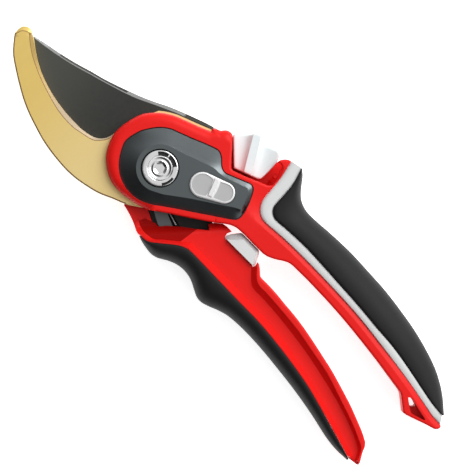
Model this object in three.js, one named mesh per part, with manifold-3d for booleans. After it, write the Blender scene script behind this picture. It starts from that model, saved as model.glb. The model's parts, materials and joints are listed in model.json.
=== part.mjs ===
// Bypass pruning shears, closed and locked, lying on their back.
//
// Drawing frame: the pivot axis is x = y = 0, +X runs along the handles, +Y to the thumb side, and z = 0 is the
// middle of the handles' depth. The outer group moves the drawing to the part's own frame, where the shears lie
// on z = 0 with the middle of their box over the origin. All sizes are in millimetres.
import * as THREE from "three";
import { mergeVertices } from "three/addons/utils/BufferGeometryUtils.js";
import Module from "manifold-3d";

const wasm = await Module();
wasm.setup();

// ---- Driving dimensions ------------------------------------------------------------------------------------

const PIVOT = { x: -34.75, y: -4.9 }; // the pivot axis in the part's own frame
const BACK = -10; // the face that the shears lie on
const PARTING = 1.5; // the plane where the blades slide and the shells meet
const GAP = 0.1; // half of the gap at the parting plane
const SEAM = 0.2; // gap between two pieces that meet edge to edge
const BLADE_DEPTH = 2.9;
const HOOK_DEPTH = 3.9;
const CHEEK_INNER = 5.7; // underside of the front cheek
const BACK_CHEEK_INNER = -6.7; // inner face of the back cheek
const HEAD_TOP = 10;
const BAR_HALF = 8.5; // half depth of the red bars
const SHELL_BEVEL = 0.2;
const PANEL_SEAT = 8.2;
const PANEL_TOP = 10.1;
const PLATEAU = 10.9;
const GRIP_HALF = 9.8;
const TRIM_HALF = 8.9;
const CHANNEL_FLOOR = 4.2;
const SWEEP = 25.9; // radius that the blade's heel needs inside the head
const SHANK_R = 4.2; // pivot bolt
const BUSH_R = 5;
const BOLT_HEAD_R = 4.7;
const PIVOT_RING_R = 6.95;
const NUT_R = 6.6;
const SPRING_R = 7.2;
const WIRE_R = 0.6;
const SPRING_HOUSE_R = 9.2;
const RING_R = 15.5; // the blade and the knuckle around the pivot
const OPENING = 30; // degrees between closed and fully open
const SLIDE_ANGLE = 23; // degrees, direction in which the thumb lock slides
const LOCK_TRAVEL = 3.2;
const LOCK_HALF = 6.3;
const SELECTOR_ANGLE = 25.7; // degrees, direction in which the width selector slides
const SELECTOR_TRAVEL = 3;
const SELECTOR_STEM_R = 1.9;
const PIN_R = 1.4;
const SCREW_R = 1.1;
const SCREW_HEAD_R = 1.7;
const DOWEL_R = 1.5;
const ROUND = 40; // sides of a large round piece
const SMALL_ROUND = 16; // sides of a screw or pin

// ---- Curves, as [x, y] points in the drawing frame ----------------------------------------------------------

/** A smooth curve through the points, with a number of straight steps between each two. */
function through(points, steps = 2) {
  const curve = new THREE.SplineCurve(points.map(([x, y]) => new THREE.Vector2(x, y)));
  return curve.getPoints(steps * (points.length - 1)).map((p) => [p.x, p.y]);
}

/** An arc from one angle to another, in degrees. */
function arc(radius, from, to, steps = 12, [cx, cy] = [0, 0]) {
  return Array.from({ length: steps + 1 }, (_, i) => {
    const a = THREE.MathUtils.degToRad(from + ((to - from) * i) / steps);
    return [cx + radius * Math.cos(a), cy + radius * Math.sin(a)];
  });
}

/** The point at a distance and angle (degrees) from the start. */
function along([x, y], distance, degrees) {
  const a = THREE.MathUtils.degToRad(degrees);
  return [x + distance * Math.cos(a), y + distance * Math.sin(a)];
}

/** The points without those that repeat the one before. */
function distinct(points, closed = true) {
  const far = (a, b) => Math.hypot(a[0] - b[0], a[1] - b[1]) > 0.02;
  const kept = points.filter((p, i) => i === 0 || far(p, points[i - 1]));
  return closed && !far(kept[0], kept.at(-1)) ? kept.slice(0, -1) : kept;
}

/** The line moved sideways, to its left for a positive distance. A closed outline that runs anticlockwise shrinks. */
function moved(points, distance, closed = false) {
  const line = distinct(points, closed);
  const count = line.length;
  const normal = (i) => {
    const a = line[(i + count) % count];
    const b = line[(i + 1) % count];
    const length = Math.hypot(b[0] - a[0], b[1] - a[1]);
    return [(a[1] - b[1]) / length, (b[0] - a[0]) / length];
  };
  return line.map(([x, y], i) => {
    const before = normal(closed || i > 0 ? i - 1 : 0);
    const after = normal(closed || i < count - 1 ? i : count - 2);
    const share = Math.max(1 + before[0] * after[0] + before[1] * after[1], 0.5);
    return [x + (distance * (before[0] + after[0])) / share, y + (distance * (before[1] + after[1])) / share];
  });
}

/** A closed outline grown on all sides. */
function grown(outline, distance) {
  const points = outline.map(([x, y]) => new THREE.Vector2(x, y));
  return moved(outline, THREE.ShapeUtils.isClockWise(points) ? distance : -distance, true);
}

const reversed = (points) => [...points].reverse();

// Seams that several pieces share, each from the head towards the handles' ends.
const trimInnerEdge = through([
  [33.4, 37.2], [34.2, 33.8], [35, 28], [35.5, 21], [36.6, 17.4], [39.4, 14.5], [43, 13.7], [50, 14.2],
  [62, 14.4], [78, 14.2], [92, 13.4], [106, 11.9], [120, 9.9], [132, 7.9], [139, 6.7], [144.4, 6.4],
]);
const trimOuterEdge = through([
  [37.9, 38.1], [39.2, 32.5], [40.2, 25], [40.7, 20.8], [42.4, 18.2], [45.5, 17.4], [52, 17.7],
  [64, 17.9], [78, 17.4], [92, 16.3], [106, 14.8], [120, 13], [132, 10.5], [138, 9.6], [142.2, 9.3],
]);
const upperGripEdge = through([
  [38.8, 37.8], [40.8, 36], [43.7, 32.6], [46.7, 29.6], [50.5, 28], [56, 27.9], [66, 28.6], [80, 28.7],
  [94, 27.8], [107, 26.1], [118.5, 23.5], [129, 19.9], [137.5, 15], [143, 10.2],
]);
const lowerSeam = through([
  [14.2, -22.9], [17, -21.9], [21, -19.5], [25, -16.9], [28.5, -14.5], [31.5, -13.9], [45, -14.2],
  [62, -14.5], [76, -15.4], [90, -17.3], [104, -19.9], [116, -23.4], [128.4, -26.7],
]);
const lowerGripEdge = through([
  [13.4, -24.1], [16.9, -25.1], [20.5, -25.6], [24.7, -24.3], [29.2, -21.9], [33.6, -21.2], [37.9, -21.9],
  [42.4, -24.1], [46, -25.2], [50.1, -24.2], [55.7, -22.2], [62, -21.1], [75, -21.5], [90, -22.7],
  [104, -24.9], [115, -27.2], [122.5, -28.3], [128.8, -28],
]);

// The edge of the head's cheeks, from the slot above, round the left side, to the straight edge below.
const cheekEdge = through([
  [3.6, 23.6], [-2.5, 21.1], [-7.3, 19.3], [-12.8, 16.6], [-17.3, 12.7], [-20.2, 8.2], [-21.7, 2], [-21.8, -3],
  [-20.3, -7.7], [-17.5, -11.9], [-13.1, -15.3], [-8.6, -17], [-4, -17.1], [2, -16.3], [7.5, -14.8],
]);
// The upper handle's edge towards the lower handle, from the head to the lanyard loop and its end.
const barInnerEdge = [
  [29, -0.4], ...through([[31.5, 2], [34.5, 4.1], [38, 5]]), [52.5, 5],
  ...through([[54.3, 5.7], [58.6, 8.5], [61, 9.4]]),
  ...through([[70, 9.6], [84, 9.1], [98, 8.1], [112, 6.4], [124.6, 4.3]]),
  [130.2, 0.2], [131, -0.3], [136, 1.1], [144.3, 3.9], [145.4, 5],
];
const shoulder = through([[10.8, 28.3], [9.6, 28.7], [8, 28.3], [6.6, 27.2], [5.4, 26.2], [3.6, 25.6]], 2);
const barOuterEdge = reversed(moved(trimInnerEdge, -SEAM));

// In front of the thumb lock the upper handle is open. Behind the lock its back shell closes the pocket.
const upperFront = [
  ...cheekEdge, ...barInnerEdge, ...barOuterEdge, [32.3, 36.9], [30.6, 34.9], [29.9, 33.3],
  ...through([[31.4, 33.8], [33.2, 32.6], [34.1, 30], [34.5, 25]]), [19.6, 18.8], ...shoulder,
];
const upperBack = [
  ...cheekEdge, ...barInnerEdge, ...barOuterEdge, [32.3, 36.9], [30, 34], [27, 31.5], [20, 29.2], ...shoulder,
];

const hookOutline = [
  ...through([[-72.6, 2.9], [-75, 1.6], [-75.9, -1], [-75.5, -3.2]]),
  ...through([[-70, -9.3], [-60, -15.9], [-50, -20.8], [-40, -23.8], [-30, -25.5], [-20, -25.6], [-10, -23.6],
    [0, -19], [7, -15.2]]),
  [12, -11], [27, -1], [37, 6.6], [50, 6.6], [50, 11.4], [39, 11.4], [33, 15.2], [30, 15.4], [20.2, 15.2],
  [13, 21.6], [5, 23.2], [3.4, 24.2],
  ...through([[-2.8, 21.9], [-7.6, 20.1], [-13.2, 17.4], [-16.2, 14.8]]),
  ...through([[-18.4, 9], [-20.8, 2], [-22, -3.4], [-24.3, -8.2], [-29.5, -10.5], [-36, -10.8], [-45, -10],
    [-54, -7.8], [-63, -3.9], [-70.2, 1.6]]),
];
const tangPocket = [
  [8, -14.4], [27.2, -1.3], [37.2, 6.2], [50.4, 6.2], [50.4, 11.8], [39.2, 11.8], [33.2, 15.6], [30, 15.8],
  [20.2, 15.6], [8, 8],
];
const bladeTang = [
  [14.2, -15.8], [20, -17], [29, -12.6], [49, -11.4], [49, -6.4], [30, -8.4], [21, -13], [18.3, -12.2], [14.2, -10.4],
];
const bladeOutline = [
  ...through([[-71.4, 1.2], [-65, -4.6], [-55, -10], [-45, -13.4], [-35, -14.8], [-28, -14.2], [-20, -10.6],
    [-15, -6.5]]),
  ...arc(RING_R, -160, -56, 8), ...bladeTang, ...arc(RING_R, -32, -4, 3), [23.4, 3.4],
  ...arc(SWEEP - 0.5, 14, 82, 12),
  ...through([[3.2, 25.3], [-5, 22.7], [-12, 20.2], [-20, 16.5], [-30, 12.4], [-42, 8.4], [-55, 4.8], [-70, 1.8]]),
];
const tangRoom = [[6, -6], [8.6, -12.8], ...bladeTang, [13, -8]]; // what the blade's tang needs beside its ring
// The knuckle carries the spring and ties the blade's ring to the lower handle. Its web closes the head's mouth.
const knuckleOutline = [
  ...arc(RING_R, 20, 297, 30),
  [13.2, -17.2], [20, -17.8], [29, -13.2], [50, -12], [50, -5.8], [34, -5], [29, -4.4], [28.9, -0.6], [22, -0.6],
  ...arc(RING_R, -3, 10, 2),
];

const panelOutline = [
  ...through([[-4.8, 14.4], [3, 17.5], [8.7, 19.7]]),
  ...through([[10.6, 20.2], [12.4, 19.8]]), [16.4, 16.7],
  ...through([[17.6, 16.2], [19.2, 16.3]]), [28, 19.6],
  ...through([[29.3, 19.9], [30.6, 19.1], [31.4, 17.8]]),
  ...through([[33.3, 13.4], [34.3, 9.6], [34.3, 7], [32.8, 5.1]]), [8.2, -11.9],
  ...through([[4.6, -13.3], [-1, -14.4], [-6.8, -13.4], [-11.4, -10.5], [-14.9, -5.8], [-16.3, -0.5], [-15.2, 4.6],
    [-12, 9.8], [-8.2, 13]]),
];
const plateauOutline = [...arc(9, 105, 296, 14), [17, 0.4], [33.4, 9.6], [30.8, 18], [28, 18.8], [17.6, 15.2]];

const lowerInnerEdge = [
  [31.7, 1.3], [33, 2.2], [36.3, 2.4], [35.3, 0.2], [35.3, -1.7], [51.8, -1.7], [51.5, 0.9],
  ...through([[52.6, 0.6], [54, -0.8], [55.8, -2.5]]),
  ...through([[57.5, -2.7], [68, -3], [80, -4.4], [92, -6.4], [104, -9.2], [116, -13.2], [125, -16.8],
    [129.6, -19.6]]),
  [133.4, -26.4], [132.6, -26.9],
];
const shellSeam = reversed(moved(lowerSeam, SEAM));
const noseTip = [[12.3, -23.6], [10.2, -23.2], [7.6, -21.6], [9.2, -17.6]];
const lowerFront = [
  ...shellSeam, ...noseTip, [14, -16.4], [16.2, -15.6], [29.9, -3.2], [28.8, -1], ...lowerInnerEdge,
];
const lowerBack = [...shellSeam, ...noseTip, [9.4, -14.4], [28.8, -1.2], ...lowerInnerEdge];
// The lower handle's nose runs on under the hook, beside the knuckle.
const nose = [
  [14, -22.4], [12.3, -23.4], [10.2, -23.2], ...through([[8.4, -22.4], [3, -20.4], [0, -19.7]]), [-0.8, -18.2],
  ...arc(RING_R + 0.3, -92, -62, 4), [12, -17.9], [22, -18.6],
];
const channel = [
  ...through([[57.5, -6], [70, -6.8], [84, -8.6], [98, -11.4], [112, -15.2], [124, -18.8], [129, -20.8]]),
  [131, -24.2],
  ...through([[127, -25.2], [116, -21.4], [104, -17.9], [90, -15.2], [76, -13], [60, -12], [31, -11.5]]),
  ...through([[27, -13], [20, -17.6], [14.5, -20.8]]), [11, -20.4], [11, -17.2], [30, -5], [34, -3.4], [51, -3.4],
];

const lockOutline = [
  [19.9, 19.9], [11.1, 28.7],
  ...through([[11.2, 29.6], [13.4, 30.8], [15, 32.4], [16.4, 34.4], [18, 35.5], [19.7, 35.2], [22, 34.4],
    [24.6, 34.9], [26.6, 35.9], [28.2, 35.4]], 2),
  [29.3, 33.6], [29.7, 25.4], [29, 23.8],
];
const lanyardHole = [
  [128.9, 5], ...through([[130.4, 5.4], [132.6, 5.3], [135.6, 4.5]], 2),
  ...through([[138.3, 3.9], [138.6, 3.5], [138.1, 3.2]], 2), ...through([[134.4, 2.1], [133.3, 1.9], [132.3, 2.2]], 2),
];

// ---- Solids -------------------------------------------------------------------------------------------------

/** A closed three.js geometry as a solid that can be joined and cut. */
function solid(geometry) {
  const bare = geometry.index ? geometry.toNonIndexed() : geometry.clone();
  bare.deleteAttribute("normal");
  bare.deleteAttribute("uv");
  const merged = mergeVertices(bare, 1e-4);
  const mesh = new wasm.Mesh({
    numProp: 3,
    vertProperties: merged.attributes.position.array,
    triVerts: new Uint32Array(merged.index.array),
  });
  return new wasm.Manifold(mesh);
}

/** A plate with the given outline from z = low to z = high. A bevel takes that much off both of its edges. */
function plate(outline, low, high, bevel = 0) {
  const shape = new THREE.Shape(distinct(outline).map(([x, y]) => new THREE.Vector2(x, y)));
  const geometry = new THREE.ExtrudeGeometry(shape, {
    depth: high - low - 2 * bevel,
    bevelEnabled: bevel > 0,
    bevelThickness: bevel,
    bevelSize: bevel,
    bevelOffset: -bevel,
    bevelSegments: 1,
    curveSegments: 1,
  });
  return solid(geometry.translate(0, 0, low + bevel));
}

/** An upright cylinder or prism at (x, y). */
function post(radius, low, high, [x, y] = [0, 0], sides = SMALL_ROUND) {
  const geometry = new THREE.CylinderGeometry(radius, radius, high - low, sides);
  return solid(geometry.rotateX(Math.PI / 2).translate(x, y, (low + high) / 2));
}

/** A block between two corners. */
function block([x0, y0, z0], [x1, y1, z1]) {
  const geometry = new THREE.BoxGeometry(x1 - x0, y1 - y0, z1 - z0);
  return solid(geometry.translate((x0 + x1) / 2, (y0 + y1) / 2, (z0 + z1) / 2));
}

/** A slot with round ends of the given radius between two points. */
function slot(radius, [ax, ay], [bx, by], low, high) {
  const turn = THREE.MathUtils.radToDeg(Math.atan2(by - ay, bx - ax));
  const ends = [...arc(radius, turn + 90, turn + 270, 8, [ax, ay]), ...arc(radius, turn - 90, turn + 90, 8, [bx, by])];
  return plate(ends, low, high);
}

/** A bar of round section along a smooth line of 3-D points. */
function wire(points, radius, steps, sides = 8) {
  const section = new THREE.Shape(arc(radius, 0, 360, sides).slice(0, -1).map(([x, y]) => new THREE.Vector2(x, y)));
  const path = new THREE.CatmullRomCurve3(points.map((p) => new THREE.Vector3(...p)));
  return solid(new THREE.ExtrudeGeometry(section, { extrudePath: path, steps, bevelEnabled: false }));
}

/** A side view, as [x, z] points, made as wide as the object: meeting it with a plate shapes the plate's depth. */
function sideView(points) {
  const shape = new THREE.Shape(points.map(([x, z]) => new THREE.Vector2(x, z)));
  const geometry = new THREE.ExtrudeGeometry(shape, { depth: 160, bevelEnabled: false });
  return solid(geometry.translate(0, 0, -80).rotateX(Math.PI / 2));
}

/**
 * A long piece between two edges. At each station the section runs from one edge (across = 0) to the other
 * (across = 1) and up to the half depth (up = 1), as [across, up] points in order round the section.
 */
function lofted(edgeA, edgeB, stations, halfDepth, section) {
  const lineA = new THREE.CatmullRomCurve3(distinct(edgeA, false).map(([x, y]) => new THREE.Vector3(x, y, 0)));
  const lineB = new THREE.CatmullRomCurve3(distinct(edgeB, false).map(([x, y]) => new THREE.Vector3(x, y, 0)));
  const positions = [];
  for (let i = 0; i <= stations; i += 1) {
    const a = lineA.getPointAt(i / stations);
    const b = lineB.getPointAt(i / stations);
    for (const [across, up] of section) {
      const p = a.clone().lerp(b, across);
      positions.push(p.x, p.y, up * halfDepth(p.x));
    }
  }
  const ring = section.length;
  const index = [];
  for (let i = 0; i < stations; i += 1) {
    for (let j = 0; j < ring; j += 1) {
      const [p, q] = [i * ring + j, i * ring + ((j + 1) % ring)];
      index.push(p, q, p + ring, q, q + ring, p + ring);
    }
  }
  for (let j = 1; j < ring - 1; j += 1) {
    const last = stations * ring;
    index.push(0, j + 1, j, last, last + j, last + j + 1);
  }
  const geometry = new THREE.BufferGeometry();
  geometry.setAttribute("position", new THREE.Float32BufferAttribute(positions, 3));
  geometry.setIndex(index);
  const made = solid(geometry);
  return made.volume() > 0 ? made : lofted(edgeA, edgeB, stations, halfDepth, reversed(section));
}

const cut = (body, ...tools) => tools.reduce((rest, tool) => rest.subtract(tool), body);
const join = (body, ...others) => others.reduce((sum, other) => sum.add(other), body);

// ---- The object's tree --------------------------------------------------------------------------------------

const shears = new THREE.Group();
shears.name = "pruning_shears";
const drawing = new THREE.Group();
drawing.position.set(PIVOT.x, PIVOT.y, -BACK);
shears.add(drawing);

const paint = (color, roughness, metalness = 0) => new THREE.MeshStandardMaterial({ color, roughness, metalness });
const RED = paint(0xe0231f, 0.4);
const BLACK_RUBBER = paint(0x232425, 0.8);
const BLACK_NYLON = paint(0x1b1c1d, 0.6);
const WHITE_PLASTIC = paint(0xdddedd, 0.45);
const GREY_PLASTIC = paint(0x3c4447, 0.5);
const GOLD = paint(0xd9bd6c, 0.35, 0.8);
const DARK_STEEL = paint(0x33332f, 0.4, 0.5);
const STEEL = paint(0xc8c9cb, 0.3, 1);
const BRONZE = paint(0xa97c43, 0.4, 1);

/** Adds a solid to the drawing as a named mesh. */
function piece(name, body, material) {
  const { vertProperties, triVerts, numProp } = body.getMesh();
  const positions = new Float32Array((vertProperties.length / numProp) * 3);
  for (let i = 0; i < positions.length / 3; i += 1) {
    positions.set(vertProperties.subarray(i * numProp, i * numProp + 3), i * 3);
  }
  const geometry = new THREE.BufferGeometry();
  geometry.setAttribute("position", new THREE.BufferAttribute(positions, 3));
  geometry.setIndex(new THREE.BufferAttribute(new Uint32Array(triVerts), 1));
  const faceted = geometry.toNonIndexed();
  faceted.computeVertexNormals();
  const mesh = new THREE.Mesh(faceted, material);
  mesh.name = name;
  drawing.add(mesh);
}

// ---- Places that several pieces share -----------------------------------------------------------------------

const ABOVE = 20; // beyond the object on the front side
const BELOW = -20;
const hookLow = PARTING + GAP;
const hookHigh = hookLow + HOOK_DEPTH;
const bladeHigh = PARTING - GAP;
const bladeLow = bladeHigh - BLADE_DEPTH;
const knuckleHigh = bladeLow - 0.2;
const knuckleLow = BACK_CHEEK_INNER + 0.2;

const upperScrews = [[30.4, 11.6], [56.4, 10.9], [88, 11.6], [118, 8]];
const lowerScrews = [[56, -9.2], [80, -10.6], [104, -14.7], [121, -20.3]];
const hookDowels = [[41, 9], [47, 9]];
const bladeDowels = [[33.4, -10], [45, -9]];
const selectorFrom = [15.5, 7];
const selectorTo = along(selectorFrom, SELECTOR_TRAVEL, SELECTOR_ANGLE);
const legHole = along([0, 0], SPRING_R, 150);
const lockFoot = [24.2, 20.3]; // where the thumb lock's foot passes the pocket's floor
const pawlRoot = along(lockFoot, 3, SLIDE_ANGLE - 90);
const pawlTip = along(pawlRoot, -3.4, SLIDE_ANGLE);

const upperSide = [
  [-90, BACK], [34, BACK], [44, -BAR_HALF], [124, -BAR_HALF], [146, -6.2], [146, 6.2], [124, BAR_HALF],
  [44, BAR_HALF], [35, HEAD_TOP], [-90, HEAD_TOP],
];
const lowerSide = [
  [-10, -7], [7, -7.4], [14, -BAR_HALF], [112, -BAR_HALF], [134, -6.4], [134, 6.4], [112, BAR_HALF], [14, BAR_HALF],
  [7, 7.4], [-10, 7],
];

/** Holes through a back shell, and blind in the front one, for the screws that hold the two together. */
function screwHoles(places, tip) {
  return places.flatMap((at) => [
    post(SCREW_R + 0.15, BELOW, tip + 0.2, at),
    post(SCREW_HEAD_R + 0.15, BELOW, -BAR_HALF + 1.6, at),
  ]);
}
const dowelHoles = (places, low, high) => places.map((at) => post(DOWEL_R + 0.1, low - 0.1, high + 0.1, at));
const UPPER_TIP = 4.8;
const LOWER_TIP = 3.2;
const HOOK_DOWEL = [-5, 6];
const BLADE_DOWEL = [-6.4, 3.4];

// ---- Blades -------------------------------------------------------------------------------------------------

/** The fixed hook that branches rest in, with its tang between the upper handle's shells. */
function counterBlade() {
  return cut(
    plate(hookOutline, hookLow, hookHigh),
    post(BUSH_R + 0.1, 0, 8, [0, 0], ROUND),
    slot(PIN_R + 0.3, selectorFrom, selectorTo, 0, 8),
    post(SCREW_R + 0.2, 0, 8, upperScrews[0]),
    ...dowelHoles(hookDowels, 0, 8),
  );
}

/** The blade that swings past the hook. Its window clears the selector's pin through the whole opening. */
function cuttingBlade() {
  const near = Math.hypot(...selectorFrom) - 2;
  const far = Math.hypot(...selectorTo) + 2;
  const at = THREE.MathUtils.radToDeg(Math.atan2(selectorFrom[1], selectorFrom[0]));
  return cut(
    plate(bladeOutline, bladeLow, bladeHigh),
    post(BUSH_R + 0.1, -4, 4, [0, 0], ROUND),
    plate([...arc(far, at - 7, at + OPENING + 7, 8), ...arc(near, at + OPENING + 7, at - 7, 8)], -4, 4),
    post(2, -4, 4, along([0, 0], SWEEP + 0.5, 36)),
    ...dowelHoles(bladeDowels, -4, 4),
  );
}

piece("counter_blade", counterBlade(), GOLD);
piece("cutting_blade", cuttingBlade(), DARK_STEEL);

// ---- Upper handle -------------------------------------------------------------------------------------------

/** What the moving pieces sweep through between the head's cheeks. */
const cavity = join(
  post(SWEEP, BACK_CHEEK_INNER, CHEEK_INNER, [0, 0], 64),
  block([-60, -60, BACK_CHEEK_INNER], [3.6, 60, CHEEK_INNER]),
  plate([[-30, -50], [29.3, -50], [29.3, -0.1], [24, 6], [0, 15], [-30, 15]], BACK_CHEEK_INNER, CHEEK_INNER),
);

/** The room that the thumb lock needs at both ends of its travel. */
function lockRoom(low, high) {
  const rooms = [-0.5, LOCK_TRAVEL / 2, LOCK_TRAVEL + 0.4].map((distance) => {
    const [dx, dy] = along([0, 0], distance, SLIDE_ANGLE);
    return plate(lockOutline.map(([x, y]) => [x + dx, y + dy]), low, high);
  });
  return join(...rooms);
}

/** The lock's foot runs in a slot of T section below the pocket's floor. */
function footRoom() {
  const from = along(lockFoot, -1.2, SLIDE_ANGLE);
  const neck = [from, along(from, 9.6, SLIDE_ANGLE)];
  const deep = neck.map((p) => along(p, 4.6, SLIDE_ANGLE - 90));
  const lip = neck.map((p) => along(p, 2, SLIDE_ANGLE - 90));
  return join(
    plate([...neck.map((p) => along(p, 2, SLIDE_ANGLE + 90)), ...reversed(deep)], -1.6, 1.6),
    plate([...lip, ...reversed(deep)], -3.6, 3.6),
    slot(1.2, along(pawlTip, -0.3, SLIDE_ANGLE), along(pawlRoot, 2, SLIDE_ANGLE), -1.6, 1.6),
  );
}

function upperFrontShell() {
  const whole = plate(upperFront, BACK, HEAD_TOP, SHELL_BEVEL).intersect(sideView(upperSide));
  const front = whole.intersect(block([-90, -60, PARTING + GAP], [150, 60, ABOVE]));
  return cut(
    front,
    plate(grown(panelOutline, SEAM), PANEL_SEAT, ABOVE),
    cavity,
    plate(tangPocket, 0, CHEEK_INNER),
    post(SHANK_R + 0.1, 0, ABOVE, [0, 0], ROUND),
    slot(SELECTOR_STEM_R + 0.2, selectorFrom, selectorTo, 0, ABOVE),
    slot(3.4, selectorFrom, selectorTo, 0, CHEEK_INNER + 1.2),
    plate(lanyardHole, BELOW, ABOVE),
    lockRoom(0, LOCK_HALF + 0.3),
    footRoom(),
    ...screwHoles(upperScrews, UPPER_TIP),
    ...dowelHoles(hookDowels, ...HOOK_DOWEL),
  );
}

function upperBackShell() {
  const whole = plate(upperBack, BACK, HEAD_TOP, SHELL_BEVEL).intersect(sideView(upperSide));
  const back = whole.intersect(block([-90, -60, BELOW], [150, 60, PARTING - GAP]));
  const pocketFloor = [[19.6, 18.8], [34.5, 25], [34.1, 30], [33.2, 40], [0, 40], [9, 30.2]];
  return cut(
    back,
    cavity,
    post(SHANK_R + 0.1, BELOW, ABOVE, [0, 0], ROUND),
    post(NUT_R + 0.3, BELOW, BACK + 2.5, [0, 0], 6),
    post(WIRE_R + 0.2, BACK_CHEEK_INNER - 1.6, 0, legHole),
    plate(lanyardHole, BELOW, ABOVE),
    plate(pocketFloor, -LOCK_HALF - 0.3, ABOVE),
    lockRoom(-LOCK_HALF - 0.3, ABOVE),
    footRoom(),
    ...screwHoles(upperScrews, UPPER_TIP),
    ...dowelHoles(hookDowels, ...HOOK_DOWEL),
  );
}

/** A half depth that changes evenly between two places along the handle. */
const endTaper = (half, from, to, endHalf) => (x) => {
  const share = THREE.MathUtils.clamp((x - from) / (to - from), 0, 1);
  return half + (endHalf - half) * share;
};
const trimSection = [[0, -0.95], [0, 0.95], [0.3, 1], [1, 1], [1, -1], [0.3, -1]];
const gripSection = [
  [0, -0.97], [0, 0.97], [0.06, 1], [0.3, 1], [0.58, 0.9], [0.82, 0.66], [0.96, 0.34], [1, 0], [0.96, -0.34],
  [0.82, -0.66], [0.58, -0.9], [0.3, -1], [0.06, -1],
];

const outwardLast = (section) => section.map(([across, up]) => [1 - across, up]);

piece("upper_front_shell", upperFrontShell(), RED);
piece("upper_back_shell", upperBackShell(), RED);
piece(
  "upper_trim",
  lofted(trimInnerEdge, trimOuterEdge, 40, endTaper(TRIM_HALF, 110, 143, 6.4), trimSection),
  WHITE_PLASTIC,
);
piece(
  "upper_grip",
  lofted(moved(trimOuterEdge, 0.3), upperGripEdge, 40, endTaper(GRIP_HALF, 105, 143, 6.8), gripSection),
  BLACK_RUBBER,
);

// ---- Lower handle -------------------------------------------------------------------------------------------

function lowerFrontShell() {
  const whole = plate(lowerFront, -BAR_HALF, BAR_HALF, SHELL_BEVEL).intersect(sideView(lowerSide));
  return cut(
    whole.intersect(block([-10, -60, PARTING + GAP], [150, 60, ABOVE])),
    plate(channel, CHANNEL_FLOOR, ABOVE),
    block([41.2, -4.4, 0], [46.8, 0, 3.3]),
    ...screwHoles(lowerScrews, LOWER_TIP),
    ...dowelHoles(bladeDowels, ...BLADE_DOWEL),
  );
}

function lowerBackShell() {
  const whole = plate(lowerBack, -BAR_HALF, BAR_HALF, SHELL_BEVEL).intersect(sideView(lowerSide));
  return cut(
    join(
      whole.intersect(block([-10, -60, BELOW], [150, 60, bladeHigh])),
      plate(nose, knuckleLow, bladeHigh),
    ),
    plate(grown(knuckleOutline, 0.25), knuckleLow - 0.1, ABOVE),
    plate(grown(tangRoom, 0.25), bladeLow - 0.1, ABOVE),
    post(RING_R + 0.3, knuckleLow - 0.1, ABOVE, [0, 0], 64),
    block([41.2, -4.4, -3.3], [46.8, 0, ABOVE]),
    ...screwHoles(lowerScrews, LOWER_TIP),
    ...dowelHoles(bladeDowels, ...BLADE_DOWEL),
  );
}

piece("lower_front_shell", lowerFrontShell(), RED);
piece("lower_back_shell", lowerBackShell(), RED);
piece(
  "lower_grip",
  lofted(lowerGripEdge, moved(lowerSeam, -SEAM), 48, endTaper(GRIP_HALF, 100, 131, 6.8), outwardLast(gripSection)),
  BLACK_RUBBER,
);

/** The stop between the handles, with a tenon that the two lower shells hold. */
function bumper() {
  const outline = [
    [35.7, -0.9], [36.3, -1.45], [50.9, -1.45], [51.4, -0.9], [50.8, 1.2], [48.9, 4.1], [48.2, 4.6], [39.6, 4.6],
    [38.9, 4.1], [36.6, 1.4],
  ];
  return join(plate(outline, -BAR_HALF + 0.8, BAR_HALF - 0.8, 0.5), block([41.5, -4.1, -3], [46.5, -1, 3]));
}

/** The black knuckle: a housing round the torsion spring, and a tail that the blade's dowels pin. */
function knuckle() {
  const legSlot = [
    [-5, -6], [3, -7.4], [9, -8.1], [15, -8.8], [20.6, -10.4], [20.2, -12.6], [14.5, -11], [9, -10.4], [3, -9.8],
    [-3, -8.6],
  ];
  return cut(
    plate(knuckleOutline, knuckleLow, knuckleHigh, 0.2),
    post(SPRING_HOUSE_R, BELOW, ABOVE, [0, 0], ROUND),
    plate(legSlot, knuckleHigh - 2.2, ABOVE),
    ...dowelHoles(bladeDowels, ...BLADE_DOWEL),
  );
}

/** The spring's coils, from the end in the back cheek's hole to the leg in the knuckle's slot. */
function torsionSpring() {
  const sweep = 820;
  const steps = 30;
  const low = -5.85;
  const high = -2.95;
  const coil = Array.from({ length: steps + 1 }, (_, i) => {
    const [x, y] = along([0, 0], SPRING_R, 150 + (sweep * i) / steps);
    return [x, y, low + ((high - low) * i) / steps];
  });
  const leg = [[3, -8.6, high], [9, -9.2, high], [14.9, -9.9, high], [19.2, -11.2, high]];
  return wire([[...legHole, low - 2.1], [...legHole, low - 0.9], ...coil, ...leg], WIRE_R, 110, 6);
}

const dowel = (at, [low, high]) => post(DOWEL_R, low, high, at);

/** A screw from the back, with a hexagonal socket. */
function screw(at, tip) {
  return cut(
    join(post(SCREW_HEAD_R, -BAR_HALF + 0.3, -BAR_HALF + 1.5, at), post(SCREW_R, -BAR_HALF + 1.4, tip, at)),
    post(0.85, BELOW, -BAR_HALF + 1.1, at, 6),
  );
}

piece("knuckle", knuckle(), BLACK_NYLON);
piece("torsion_spring", torsionSpring(), STEEL);
piece("bumper", bumper(), WHITE_PLASTIC);
upperScrews.forEach((at, i) => piece(`upper_screw_${i + 1}`, screw(at, UPPER_TIP), STEEL));
lowerScrews.forEach((at, i) => piece(`lower_screw_${i + 1}`, screw(at, LOWER_TIP), STEEL));
hookDowels.forEach((at, i) => piece(`hook_dowel_${i + 1}`, dowel(at, HOOK_DOWEL), STEEL));
bladeDowels.forEach((at, i) => piece(`blade_dowel_${i + 1}`, dowel(at, BLADE_DOWEL), STEEL));

// ---- Pivot --------------------------------------------------------------------------------------------------

const boltSeat = PANEL_SEAT + 0.1;
const washerLow = bladeLow - 0.7;

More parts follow.
